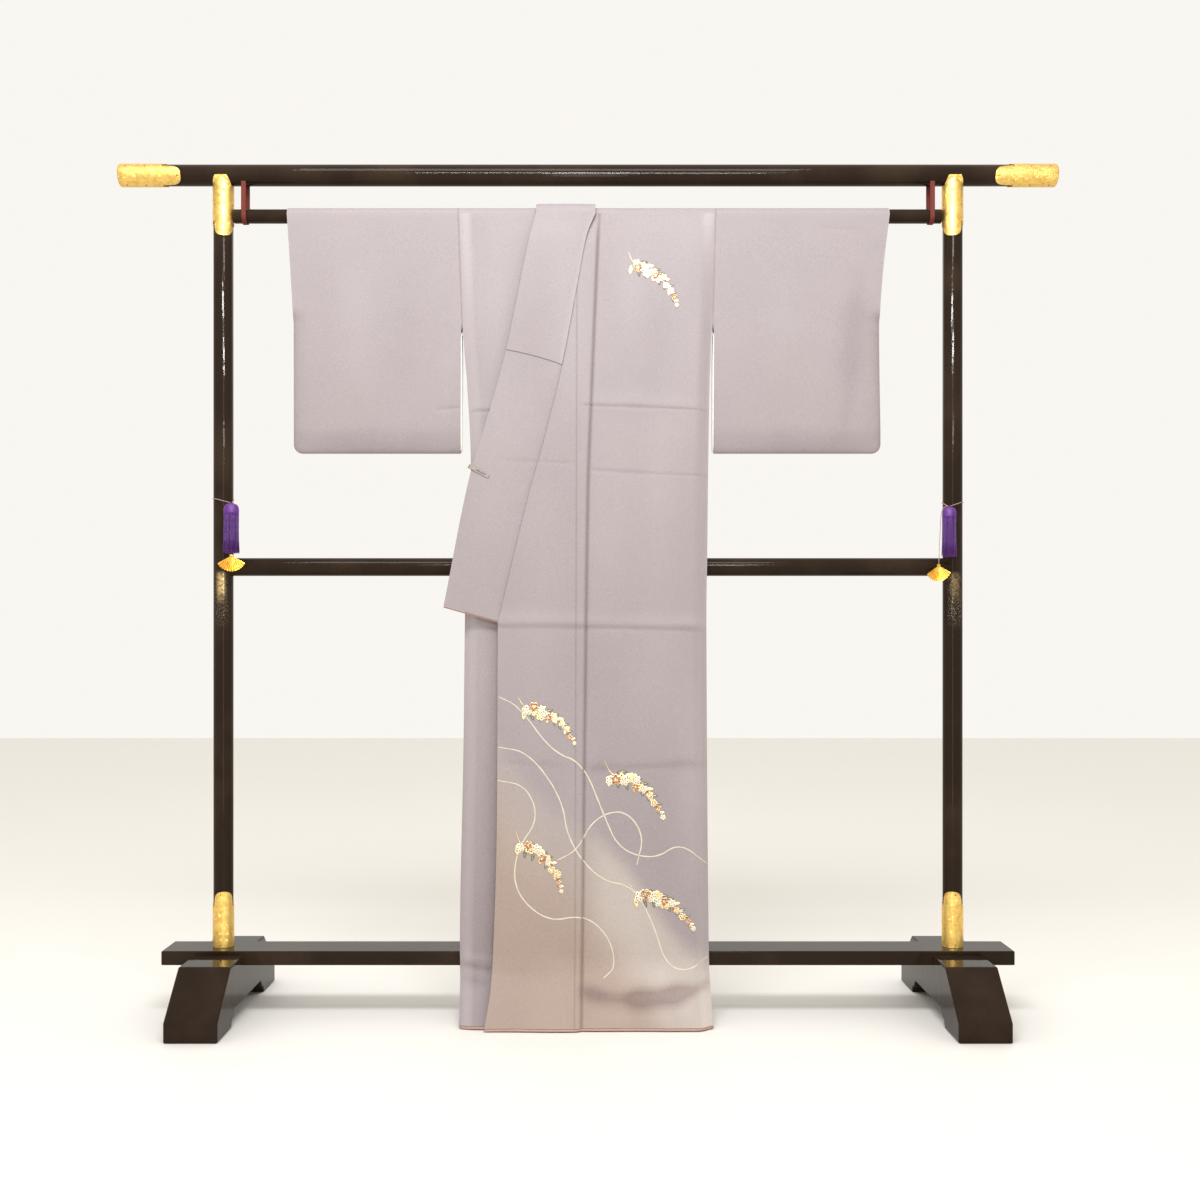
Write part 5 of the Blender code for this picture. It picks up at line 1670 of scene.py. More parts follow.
SLEEVE_INNER_LOW = {"right": -0.2522, "left": 0.2482}
SLEEVE_CREASES = {
    "right": creases(
        (-315, 1196, -225, 1204, 4, -0.9, 0, 0.35), (-500, 1133, -330, 1133, 11, 1.4, 3, 0.35),
        (-490, 1520, -460, 1200, 35, 1, 10, 0.35), (-360, 1480, -400, 1160, 30, -0.8, 6, 0.35),
        (-290, 1150, -275, 1350, 12, 0.6, 0, 0.35)),
    "left": creases(
        (440, 1560, 560, 1552, 5, -0.8, 2, 0.3), (300, 1133, 520, 1135, 11, 1.2, 3, 0.35),
        (400, 1510, 370, 1200, 34, 0.9, 8, 0.35), (545, 1510, 512, 1115, 23, -2, 3, 0.3, 1.3),
        (604, 1527, 560, 1522, 3.5, -1, 1, 0.4), (602, 1479, 565, 1474, 4, -1, 1, 0.4),
        (598, 1383, 545, 1377, 3.5, -1.2, 1, 0.4), (598, 1352, 550, 1344, 3, -0.9, 1, 0.4),
        (596, 1292, 560, 1288, 3.5, -0.9, 1, 0.4), (530, 1230, 600, 1260, 5, -0.7, 1, 0.35))}


@dataclass(frozen=True)
class Clip:
    """A spring clip on the collar's free edge: two jaws bent out of one strip."""

    place: tuple[float, float] = (-0.2345, 1.0815)
    length: float = 0.045
    height: float = 0.008
    tilt: float = math.radians(-29)
    wall: float = 0.0010

    def build(self, shop: Workshop, drape: Drape) -> None:
        """Bend the strip round the collar's edge.

        Args:
            shop: The workshop.
            drape: Where the collar hangs.
        """
        half = Kimono.collar_wall / 2 + 0.0009 + GAP + self.wall / 2
        turn = [(half * (1.0 - math.sin(math.pi * k / 12)), -half * math.cos(math.pi * k / 12))
                for k in range(13)]
        out = [self.length * share for share in (1.0, 0.85, 0.6, 0.35, 0.15)]
        along = np.array((math.cos(self.tilt), 0.0, math.sin(self.tilt)))
        across = np.array((-along[2], 0.0, along[0]))
        rows = []
        for distance, depth in [(a, -half) for a in out] + turn + [(a, half) for a in out[::-1]]:
            taper = 1.0 - 0.12 * max(distance / self.length, 0.0)
            row = np.array([np.array((self.place[0], 0.0, self.place[1])) + along * distance
                            + across * self.height * taper * (share - 0.5)
                            for share in (0.0, 0.2, 0.4, 0.6, 0.8, 1.0)])
            row[:, 1] = drape.depth(Layer.COLLAR, row[:, 0], row[:, 2]) + depth
            rows.append(row)
        clip = shop.grid_piece("steel_clip", np.stack(rows), shop.palette.steel,
                               keep=lambda j, i: not (j in (1, 2) and i == 2))
        shop.thicken(clip, self.wall, 0.0003)
        shop.book(clip, "silver", "collar_clip")


# ------------------------------------------------------------------ the painted design

Flat = np.ndarray                # points on a panel, as x and height
# for each colour of paste: how far it stands off the cloth, its slot and its finish
PASTES = {"cream": (0.00022, "silk_white", "cream"), "sage": (0.00030, "silk_white", "sage"),
          "gold": (0.00036, "gold", "gold"), "rust": (0.00044, "silk_russet", "rust"),
          "ivory": (0.00044, "silk_white", "ivory"), "seed": (0.00054, "gold", "gold")}


def smooth_path(corners: Sequence[Sequence[float]], step: float = 0.0018) -> Flat:
    """Round off a path's corners and space its points evenly.

    Args:
        corners: The path's corner points.
        step: The distance between the points made.

    Returns:
        The points.
    """
    path = np.array(corners, float)
    for _ in range(4):
        near, far = path[:-1], path[1:]
        cut = np.stack((between(near, far, 0.25), between(near, far, 0.75)), axis=1)
        path = np.concatenate((path[:1], cut.reshape(-1, 2), path[-1:]))
    run = np.concatenate(((0.0,), np.cumsum(np.hypot(*np.diff(path, axis=0).T))))
    spots = np.linspace(0.0, run[-1], max(3, int(run[-1] / step)))
    return np.stack([np.interp(spots, run, path[:, k]) for k in (0, 1)], axis=-1)


def unit(angle: float) -> Flat:
    """Point in the direction of an angle."""
    return np.array((math.cos(angle), math.sin(angle)))


@dataclass
class Design:
    """Generic plum-blossom sprays and running streams, laid on the cloth as thin paste."""

    shop: Workshop
    drape: Drape
    layer: Layer
    paste: float = 0.00014
    points: dict[str, list[Flat]] = field(default_factory=lambda: {c: [] for c in PASTES})
    faces: dict[str, list[list[int]]] = field(default_factory=lambda: {c: [] for c in PASTES})

    def lay(self, colour: str, rows: Flat, closed: bool = False) -> None:
        """Add a patch of paste, given as rows of points.

        Args:
            colour: Its colour.
            rows: Its points by row and column.
            closed: The columns meet round it.
        """
        first = sum(len(part) for part in self.points[colour])
        count, wide = rows.shape[:2]
        self.points[colour].append(rows.reshape(-1, 2))
        for low in range(first, first + (count - 1) * wide, wide):
            for i in range(wide if closed else wide - 1):
                after = (i + 1) % wide
                self.faces[colour].append([low + i, low + after, low + wide + after,
                                           low + wide + i])
        if closed:
            self.faces[colour].append(list(range(first, first + wide)))

    def blob(self, colour: str, middle: Flat, turn: float, size: tuple[float, float],
             nick: float = 0.0, point: float = 0.0) -> None:
        """Lay a rounded patch: a petal, a leaf, a bud or a seed.

        Args:
            colour: Its colour.
            middle: Its middle.
            turn: The way that its tip points, in radians.
            size: Half its length and half its width.
            nick: How deeply its tip is nicked.
            point: How sharply its ends draw to a point.
        """
        angles = np.linspace(0.0, TURN, 15)[:-1]
        away = np.abs(np.remainder(angles + math.pi, TURN) - math.pi)
        along = size[0] * np.cos(angles) * (1.0 - nick * hump(away, 0.42))
        across = size[1] * np.sin(angles) * (1.0 - point * np.cos(angles) ** 2)
        ring = np.stack((along * math.cos(turn) - across * math.sin(turn),
                         along * math.sin(turn) + across * math.cos(turn)), axis=-1)
        self.lay(colour, np.stack([middle + ring * share for share in (0.35, 0.75, 1.0)]),
                 closed=True)

    def band(self, colour: str, path: Flat, width: float, taper: float = 0.0) -> None:
        """Lay a running line.

        Args:
            colour: Its colour.
            path: Its points.
            width: Its width.
            taper: How much of the width each end loses.
        """
        along = np.gradient(path, axis=0)
        along = along / np.hypot(along[:, 0], along[:, 1])[:, None]
        across = np.stack((-along[:, 1], along[:, 0]), axis=-1)
        half = width / 2 * (1.0 - taper * np.linspace(-1.0, 1.0, len(path)) ** 4)
        half = half * (1.0 + 0.12 * np.sin(np.arange(len(path)) * 0.37))
        self.lay(colour, np.stack([path + across * (half * side)[:, None]
                                   for side in (-1.0, 0.0, 1.0)], axis=1))

    def blossom(self, colour: str, middle: Flat, size: float, turn: float) -> None:
        """Lay a five-petalled plum blossom with a gold rim, a heart and seeds.

        Args:
            colour: Its petals' colour.
            middle: Its middle.
            size: Half its width.
            turn: The way that its first petal points.
        """
        for angle in [turn + k * TURN / 5.0 for k in range(5)]:
            spot = middle + unit(angle) * size * 0.58
            self.blob("gold", spot, angle, (0.47 * size, 0.42 * size), 0.12)
            self.blob(colour, spot, angle, (0.37 * size, 0.33 * size), 0.14)
            self.blob("seed", middle + unit(angle) * size * 0.42, angle,
                      (0.10 * size, 0.05 * size))
        self.blob("seed", middle, turn, (0.17 * size, 0.17 * size))

    def spray(self, start: tuple[float, float], heading: float, length: float,
              seed: int) -> None:
        """Lay a bending spray: large blossoms and leaves first, small ones at its tip.

        Args:
            start: Its thick end.
            heading: The way it runs, in radians.
            length: Its length.
            seed: Number that varies it.
        """
        draw = np.random.default_rng(seed)
        steps = np.linspace(0.0, 1.0, 12)
        axis = unit(heading)
        side = np.array((-axis[1], axis[0]))
        path = (np.array(start) + np.outer(steps * length, axis)
                + np.outer(0.16 * length * np.sin(steps * math.pi), side))
        lead = np.array(start) - axis * 0.22 * length + side * 0.10 * length
        self.band("gold", smooth_path([lead, *path[::3]]), 0.0016, 0.7)
        colours = ("ivory", "rust", "cream", "ivory", "sage", "ivory", "rust", "cream")
        for k in range(17):
            share = (k + 0.4) / 17.0
            way = 1.0 if k % 2 else -1.0
            middle = np.array([np.interp(share, steps, path[:, i]) for i in (0, 1)])
            wide = 0.115 * length * (1.0 - 0.86 * share)
            tilt = heading + way * draw.uniform(0.5, 1.0)
            foot = middle + side * wide * 0.9 * way
            size = (0.085 - 0.045 * share) * length
            self.blob("sage" if k % 3 else "gold", foot, tilt, (size, 0.36 * size), point=0.45)
            vein = 0.8 * size * unit(tilt)
            self.band("seed", np.linspace(foot - vein, foot + vein, 4), 0.0007, 0.6)
            spot = middle + side * draw.uniform(-0.75, 0.75) * wide
            if k % 2 == 0 or share < 0.55:
                self.blossom(colours[k % len(colours)], spot,
                             (0.082 - 0.042 * share) * length * draw.uniform(0.85, 1.1),
                             draw.uniform(0.0, 6.0))
            else:
                self.blob("rust" if k % 4 == 1 else "ivory", spot, tilt,
                          (0.024 * length, 0.018 * length))

    def build(self) -> list[Piece]:
        """Make one thin piece of each colour, following the cloth's creases.

        Returns:
            The pieces.
        """
        made = []
        for colour, parts in self.points.items():
            if not parts:
                continue
            x, z = np.concatenate(parts).T
            lift, slot, finish = PASTES[colour]
            out = CLOTH_WALL / 2 + lift
            if self.layer is Layer.FRONT:
                inset = self.drape.side_x("left", z) - x
                out = out + self.drape.bulge(x, z) + 0.0006 * hump(inset - 0.0080, 0.0050)
            toward = 1.0 if self.layer is Layer.BACK else -1.0
            y = self.drape.depth(self.layer, x, z) + toward * out
            piece = self.shop.mesh_piece("%s_paste_%s" % (colour, self.layer.value),
                                         np.stack((x, y, z), axis=-1), self.faces[colour],
                                         getattr(self.shop.palette, finish))
            self.shop.thicken(piece, self.paste)
            made.append(self.shop.book(piece, slot))
        return made


STREAMS = (
    ((-0.1745, 0.628), (-0.135, 0.610), (-0.070, 0.520), (-0.010, 0.500), (0.030, 0.400),
     (0.060, 0.330), (0.130, 0.310), (0.180, 0.345), (0.2335, 0.300)),
    ((-0.1755, 0.530), (-0.115, 0.520), (-0.050, 0.430), (-0.040, 0.350), (0.020, 0.270),
     (0.090, 0.260), (0.130, 0.180), (0.150, 0.110), (0.190, 0.095), (0.2340, 0.120)),
    ((-0.1765, 0.465), (-0.120, 0.455), (-0.095, 0.390), (-0.140, 0.330), (-0.145, 0.250),
     (-0.080, 0.190), (-0.010, 0.205), (0.040, 0.165), (0.055, 0.105), (0.030, 0.085)),
    ((-0.060, 0.310), (-0.020, 0.330), (0.010, 0.390), (0.070, 0.410), (0.110, 0.360),
     (0.095, 0.300)),
)
SPRAYS = (((0.090, 1.482), -0.78, 0.122, 41), ((-0.122, 0.603), -0.62, 0.120, 42),
          ((0.046, 0.474), -0.70, 0.134, 43), ((-0.132, 0.339), -0.85, 0.124, 44),
          ((0.097, 0.240), -0.55, 0.130, 45))
BACK_STREAMS = (
    ((0.2330, 0.330), (0.170, 0.310), (0.110, 0.230), (0.040, 0.220), (-0.030, 0.150),
     (-0.100, 0.150), (-0.160, 0.095)),
    ((0.2335, 0.220), (0.180, 0.215), (0.130, 0.150), (0.070, 0.120), (0.010, 0.090)),
)
BACK_SPRAYS = (((0.170, 0.290), -2.50, 0.115, 46), ((0.020, 0.200), -2.45, 0.105, 47))


def lay_design(shop: Workshop, drape: Drape) -> list[Piece]:
    """Lay the design on the left front and low on the back.

    Args:
        shop: The workshop.
        drape: Where the cloth hangs.

    Returns:
        The thin pieces of paste.
    """
    made = []
    for layer, streams, sprays in ((Layer.FRONT, STREAMS, SPRAYS),
                                   (Layer.BACK, BACK_STREAMS, BACK_SPRAYS)):
        design = Design(shop, drape, layer)
        for corners in streams:
            design.band("cream", smooth_path(corners), 0.0029, 0.35)
        for spray in sprays:
            design.spray(*spray)
        made += design.build()
    return made


# ------------------------------------------------------------------ the stand

@dataclass(frozen=True)
class Carpentry:
    """The lacquered wood: feet, base rail, posts, rails and rod, and the straps on it."""

    shop: Workshop
    foot_width: float = 0.100
    foot_half_depth: float = 0.225
    foot_toe: float = 0.0375
    foot_top: tuple[float, float] = (0.133, 0.118)   # half its length, and its height
    sole: float = 0.098
    arch: float = 0.030
    arch_step: float = 0.014
    foot_edge: float = 0.0035
    rail_edge: float = 0.0025
    bar_edge: float = 0.0012
    rod_ends: tuple[float, float] = (-0.707, 0.706)
    strap_wall: float = 0.0020
    strap_width: float = 0.0098

    def block(self, name: str, slack: float = 0.0) -> Piece:
        """Saw the base rail, or with some slack the shape of its notch.

        Args:
            name: The piece's name.
            slack: How much deeper and taller it is than the rail.

        Returns:
            The block, with square edges.
        """
        bm = bmesh.new()
        bmesh.ops.create_cube(bm, size=1.0)
        middle = Vector((0.0, 0.0, Stand.base_bottom + Stand.base_height / 2))
        bm.transform(Matrix.Translation(middle) @ Matrix.Diagonal(
            (Stand.base_length, Stand.base_depth + slack, Stand.base_height + slack, 1.0)))
        return self.shop.bmesh_piece(name, bm, self.shop.palette.lacquer)

    def cut(self, piece: Piece, tool: Piece) -> None:
        """Cut one piece out of another, and keep the shape with its round faces smooth.

        Args:
            piece: The piece to cut.
            tool: The piece whose shape is cut away.
        """
        cut = piece.modifiers.new("Cut", "BOOLEAN")
        cut.operation = "DIFFERENCE"
        cut.solver = "EXACT"
        cut.object = tool
        depsgraph = bpy.context.evaluated_depsgraph_get()
        mesh = bpy.data.meshes.new_from_object(piece.evaluated_get(depsgraph))
        piece.modifiers.clear()
        piece.data = mesh
        mesh.shade_smooth()
        mesh.set_sharp_from_angle(angle=math.radians(35))
        piece.modifiers.new("Flat", "WEIGHTED_NORMAL").keep_sharp = True

    def build_feet(self) -> None:
        """Make both feet: flat top, sloping ends, stepped arch and a notch for the rail."""
        inner, step = self.foot_half_depth - self.sole, self.arch_step
        half = [self.foot_top, (self.foot_half_depth, self.foot_toe),
                (self.foot_half_depth, 0.0), (inner, 0.0), (inner - step / 2, step),
                (inner - step, step), (inner - 2 * step, self.arch)]
        outline = half + [(-y, z) for y, z in reversed(half)]
        notch = self.block("notch", 2 * GAP)
        for sign, side in SIDES:
            bm = bmesh.new()
            x = sign * Stand.post_x - self.foot_width / 2
            face = bm.faces.new([bm.verts.new((x, y, z)) for y, z in outline])
            pulled = bmesh.ops.extrude_face_region(bm, geom=[face])["geom"]
            moved = [item for item in pulled if isinstance(item, bmesh.types.BMVert)]
            bmesh.ops.translate(bm, verts=moved, vec=(self.foot_width, 0.0, 0.0))
            bmesh.ops.recalc_face_normals(bm, faces=bm.faces[:])
            foot = self.shop.bmesh_piece("lacquered_foot_" + side, bm,
                                         self.shop.palette.lacquer)
            self.shop.bevel(foot, self.foot_edge)
            self.cut(foot, notch)
            self.shop.book(foot, "lacquer", "foot_" + side)
        bpy.data.objects.remove(notch)

    def round_bar(self, name: str, radius: float, ends: Sequence[float], z: float,
                  node: str) -> None:
        """Turn a level round bar with eased ends.

        Args:
            name: The piece's name.
            radius: Its radius.
            ends: Where its ends are.
            z: Its height.
            node: The node that it stands for.
        """
        edge, length = self.bar_edge, ends[1] - ends[0]
        lead = [(0.0, 0.0), (radius - edge, 0.0), (radius - 0.3 * edge, 0.3 * edge),
                (radius, edge)]
        profile = (lead + [(radius, share * length) for share in (0.25, 0.5, 0.75)]
                   + [(reach, length - along) for reach, along in reversed(lead)])
        turn = Vector((1.0, 0.0, 0.0)).to_track_quat("Z", "Y").to_matrix().to_4x4()
        bar = self.shop.lathe(name, profile, Matrix.Translation((ends[0], 0.0, z)) @ turn,
                              self.shop.palette.lacquer)
        self.shop.book(bar, "lacquer", node)

    def fitted_bar(self, name: str, radius: float,
                   ends: Sequence[Callable[[float, float], Sequence[float]]],
                   finish: Finish, node: str) -> None:
        """Make a round bar whose ends are cut to fit what they meet.

        Args:
            name: The piece's name.
            radius: Its radius.
            ends: For each end, gives the point at two offsets across the bar.
            finish: Its material.
            node: The node that it stands for.
        """
        bm = bmesh.new()
        low, high = ([bm.verts.new(end(radius * math.cos(TURN * k / BAR_SIDES),
                                       radius * math.sin(TURN * k / BAR_SIDES)))
                      for k in range(BAR_SIDES)] for end in ends)
        for k in range(BAR_SIDES):
            after = (k + 1) % BAR_SIDES
            bm.faces.new((low[k], low[after], high[after], high[k]))
        for ring in (low, high):
            for k in range(BAR_SIDES // 2):
                quad = [ring[k], ring[k + 1], ring[-k - 1], ring[-k]]
                bm.faces.new(list(dict.fromkeys(quad)))
        bmesh.ops.recalc_face_normals(bm, faces=bm.faces[:])
        self.shop.book(self.shop.bmesh_piece(name, bm, finish, 50.0), "lacquer", node)

    def build_rails(self) -> None:
        """Make the base rail, the rails, the rod and the posts, which cup the top rail."""
        palette = self.shop.palette
        base = self.block("lacquered_base_rail")
        self.shop.bevel(base, self.rail_edge)
        self.shop.book(base, "lacquer", "base_rail")
        half = Stand.top_rail_half
        self.round_bar("lacquered_top_rail", Stand.top_rail_radius, (-half, half),
                       Stand.top_rail_z, "top_rail")
        self.round_bar("lacquered_rod", Stand.rod_radius, self.rod_ends, Stand.rod_z,
                       "hanging_rod")
        bottom = Stand.base_bottom + Stand.base_height + GAP
        top = Stand.top_rail_z - Stand.post_radius / 2
        cup = Stand.top_rail_radius + GAP
        for sign, side in SIDES:
            x = sign * Stand.post_x
            self.fitted_bar("lacquered_post_" + side, Stand.post_radius, (
                lambda u, v, x=x: (x + u, v, bottom),
                lambda u, v, x=x: (x + u, v, min(
                    top, Stand.top_rail_z - math.sqrt(cup ** 2 - v * v)))),
                palette.gilded_lacquer, "post_" + side)
        clear = Stand.post_radius + GAP
        self.fitted_bar("lacquered_middle_rail", Stand.middle_rail_radius, [
            lambda u, v, sign=sign: (sign * (Stand.post_x - math.sqrt(clear ** 2 - u * u)), u,
                                     Stand.middle_rail_z + v)
            for sign, _ in SIDES], palette.lacquer, "middle_rail")

    def build_straps(self) -> None:
        """Make the two straps that hold the rod, with a softly rounded section."""
        radius = Stand.rod_radius + GAP + self.strap_wall / 2
        top = Stand.top_rail_z - GAP - math.sqrt(
            Stand.top_rail_radius ** 2 - (Stand.rod_radius + GAP) ** 2)
        turn = [(-radius * math.cos(math.pi * k / 24), Stand.rod_z - radius * math.sin(
            math.pi * k / 24)) for k in range(25)]
        straight = np.linspace(top, Stand.rod_z, 8)[:-1]
        path = [(-radius, z) for z in straight] + turn + [(radius, z) for z in straight[::-1]]
        for sign, side in SIDES:
            rows = [[(sign * Stand.strap_x + self.strap_width * (share - 0.5), y, z)
                     for share in np.linspace(0.0, 1.0, 9)] for y, z in path]
            strap = self.shop.grid_piece("rust_strap_" + side, np.array(rows),
                                         self.shop.palette.strap)
            self.shop.thicken(strap, self.strap_wall, 0.0005)
            self.shop.book(strap, "strap", "strap_" + side)


@dataclass(frozen=True)
class Fittings:
    """The gilt sheaths on the posts and the top rail, with their pins."""

    shop: Workshop
    columns: int = 120
    wall: float = 0.0012
    lobe_half: float = math.radians(56)
    nick_half: float = math.radians(11)
    lobe_blunt: float = 2.7
    nick: float = 0.24           # how deep it is, in lobe lengths
    post_turn: float = math.radians(15.5)
    rail_turn: float = math.radians(-18)
    foot: tuple[float, float, float] = (Stand.base_bottom + Stand.base_height + GAP, 0.214,
                                        0.025)
    head: tuple[float, float] = (1.567, 0.024)
    tongue_top: float = 1.663
    rail: tuple[float, float] = (0.841, 0.032)
    pin_radius: float = 0.0017

    def lobe(self, angles: Values) -> Values:
        """Shape a lobed end: 1 at the lobe's middle, 0 beside it, below 0 in the nick.

        Args:
            angles: Angles round the bar from the front.

        Returns:
            How far the end reaches at each, in lobe lengths.
        """
        away = np.abs(np.remainder(angles + math.pi / 2, math.pi) - math.pi / 2)
        inside = np.clip(away / self.lobe_half, 0.0, 1.0)
        off = np.clip((away - self.lobe_half) / self.nick_half - 1.0, -1.0, 1.0)
        return np.where(away < self.lobe_half,
                        (1.0 - inside ** self.lobe_blunt) ** (1.0 / self.lobe_blunt),
                        -self.nick * np.sqrt(1.0 - off * off))

    def sheath(self, place: str, side: str, rows: Sequence[Sequence[Values | float]],
               keep: Callable[[int, int], bool] | None = None) -> None:
        """Make one sheath.

        Args:
            place: Foot, head or rail.
            side: Left or right.
            rows: The x, y and z of its points, row by row.
            keep: Says which cells are metal.
        """
        grid = np.array([[np.broadcast_to(part, self.columns) for part in row] for row in rows])
        sheath = self.shop.grid_piece("gilt_%s_%s" % (place, side), grid.transpose(0, 2, 1),
                                      self.shop.palette.gilt, keep=keep, wrap=(False, True))
        self.shop.weld(sheath)
        self.shop.thicken(sheath, self.wall, 0.0003)
        self.shop.book(sheath, "gold", "%s_fitting_%s" % (place, side))

    def pins(self, name: str, radius: float, spots: Sequence[tuple[Vector, Vector]]) -> None:
        """Set small domed pin heads.

        Args:
            name: What their names start with.
            radius: How far the metal is from the bar's axis.
            spots: For each, the point on that axis and the way that it faces.
        """
        reach = self.pin_radius
        profile = [(0.0, -0.0003), (reach, -0.0003), (reach, 0.0002), (0.8 * reach, 0.0006),
                   (0.45 * reach, 0.0009), (0.0, 0.0010)]
        for k, (middle, out) in enumerate(spots):
            turn = out.to_track_quat("Z", "Y").to_matrix().to_4x4()
            spot = Matrix.Translation(middle + out * (radius + self.wall / 2))
            head = self.shop.lathe("pin_%s_%d" % (name, k), profile, spot @ turn,
                                   self.shop.palette.dark_brass, 16)
            self.shop.book(head, "gold")

    def build(self) -> None:
        """Make the sheaths of both posts and both rail ends."""
        angles = TURN * np.arange(self.columns) / self.columns
        for sign, side in SIDES:
            self.build_foot(side, sign * Stand.post_x, angles)
            self.build_head(side, sign * Stand.post_x, angles)
            self.build_cap(side, sign, angles)

    def build_foot(self, side: str, x: float, angles: Values) -> None:
        """Make the sheath round a post's foot, with its lobed top.

        Args:
            side: Left or right.
            x: Where the post stands.
            angles: The angles of the points round it.
        """
        bottom, shoulder, reach = self.foot
        radius = Stand.post_radius + GAP + self.wall / 2
        top = shoulder + reach * self.lobe(angles + math.copysign(self.post_turn, x))
        self.sheath("foot", side, [
            (x + radius * np.sin(angles), -radius * np.cos(angles), between(bottom, top, share))
            for share in (0.0, 0.15, 0.4, 0.7, 0.9, 1.0)])
        self.pins("foot_" + side, radius, [(Vector((x, 0.0, height)), Vector((0.0, -1.0, 0.0)))
                                           for height in (bottom + 0.006,
                                                          shoulder + reach - 0.006)])

    def build_head(self, side: str, x: float, angles: Values) -> None:
        """Make the sheath round a post's head, whose front tongue laps the top rail.

        Args:
            side: Left or right.
            x: Where the post stands.
            angles: The angles of the points round it.
        """
        shoulder, reach = self.head
        radius = Stand.post_radius + GAP + self.wall / 2
        under = Stand.top_rail_z - Stand.top_rail_radius - 3 * GAP
        clear = Stand.top_rail_radius + GAP + self.wall
        depth, across = radius * np.cos(angles), radius * np.sin(angles)
        low = shoulder - reach * self.lobe(angles + math.copysign(self.post_turn, x))
        rows = [(x + across, -depth, between(low, under, share))
                for share in (0.0, 0.25, 0.6, 0.85, 1.0)]
        solid, half_cells = len(rows) - 1, self.columns // 6
        for share in np.linspace(0.0, 1.0, 10)[1:]:
            height = between(under, self.tongue_top, share)
            lapped = np.maximum(depth, math.sqrt(clear ** 2 - (Stand.top_rail_z - height) ** 2))
            rows.append((x + across * (1.0 - 0.35 * share ** 2), -lapped, height))
        self.sheath("head", side, rows, lambda row, column: (
            row < solid or not half_cells <= column < self.columns - half_cells))
        spots = []
        for height, turn in ((1.549, 0.0), (1.572, 0.95), (1.572, -0.95), (1.606, 0.95),
                             (1.606, -0.95), (1.634, 0.0)):
            turn -= math.copysign(self.post_turn, x)
            spots.append((Vector((x, 0.0, height)),
                          Vector((math.sin(turn), -math.cos(turn), 0.0))))
        self.pins("head_" + side, radius, spots)

    def build_cap(self, side: str, sign: int, angles: Values) -> None:
        """Make the cap on an end of the top rail, with its lobed inner end.

        Args:
            side: Left or right.
            sign: The sign of that side's places across.
            angles: The angles of the points round it.
        """
        shoulder, reach = self.rail
        radius = Stand.top_rail_radius + GAP + self.wall / 2
        end = Stand.top_rail_half + GAP + self.wall / 2
        low = shoulder - reach * self.lobe(angles - self.rail_turn)
        rounds = [(0.0, end), (0.5, end), (0.85, end), (0.96, end - 0.0006),
                  (1.0, end - 0.0025)]
        rounds += [(1.0, between(end - 0.0025, low, share))
                   for share in (0.1, 0.35, 0.65, 0.85, 1.0)]
        self.sheath("rail", side, [
            (sign * along, -(out * radius) * np.cos(angles),
             Stand.top_rail_z + out * radius * np.sin(angles)) for out, along in rounds])
        spots = [(shoulder - reach + 0.007, -0.31)] + [
            (shoulder + along, tilt) for along in (0.004, 0.040, 0.078)
            for tilt in (-1.28, 0.62)]
        self.pins("rail_" + side, radius, [
            (Vector((sign * along, 0.0, Stand.top_rail_z)),
             Vector((0.0, -math.cos(tilt), math.sin(tilt)))) for along, tilt in spots])


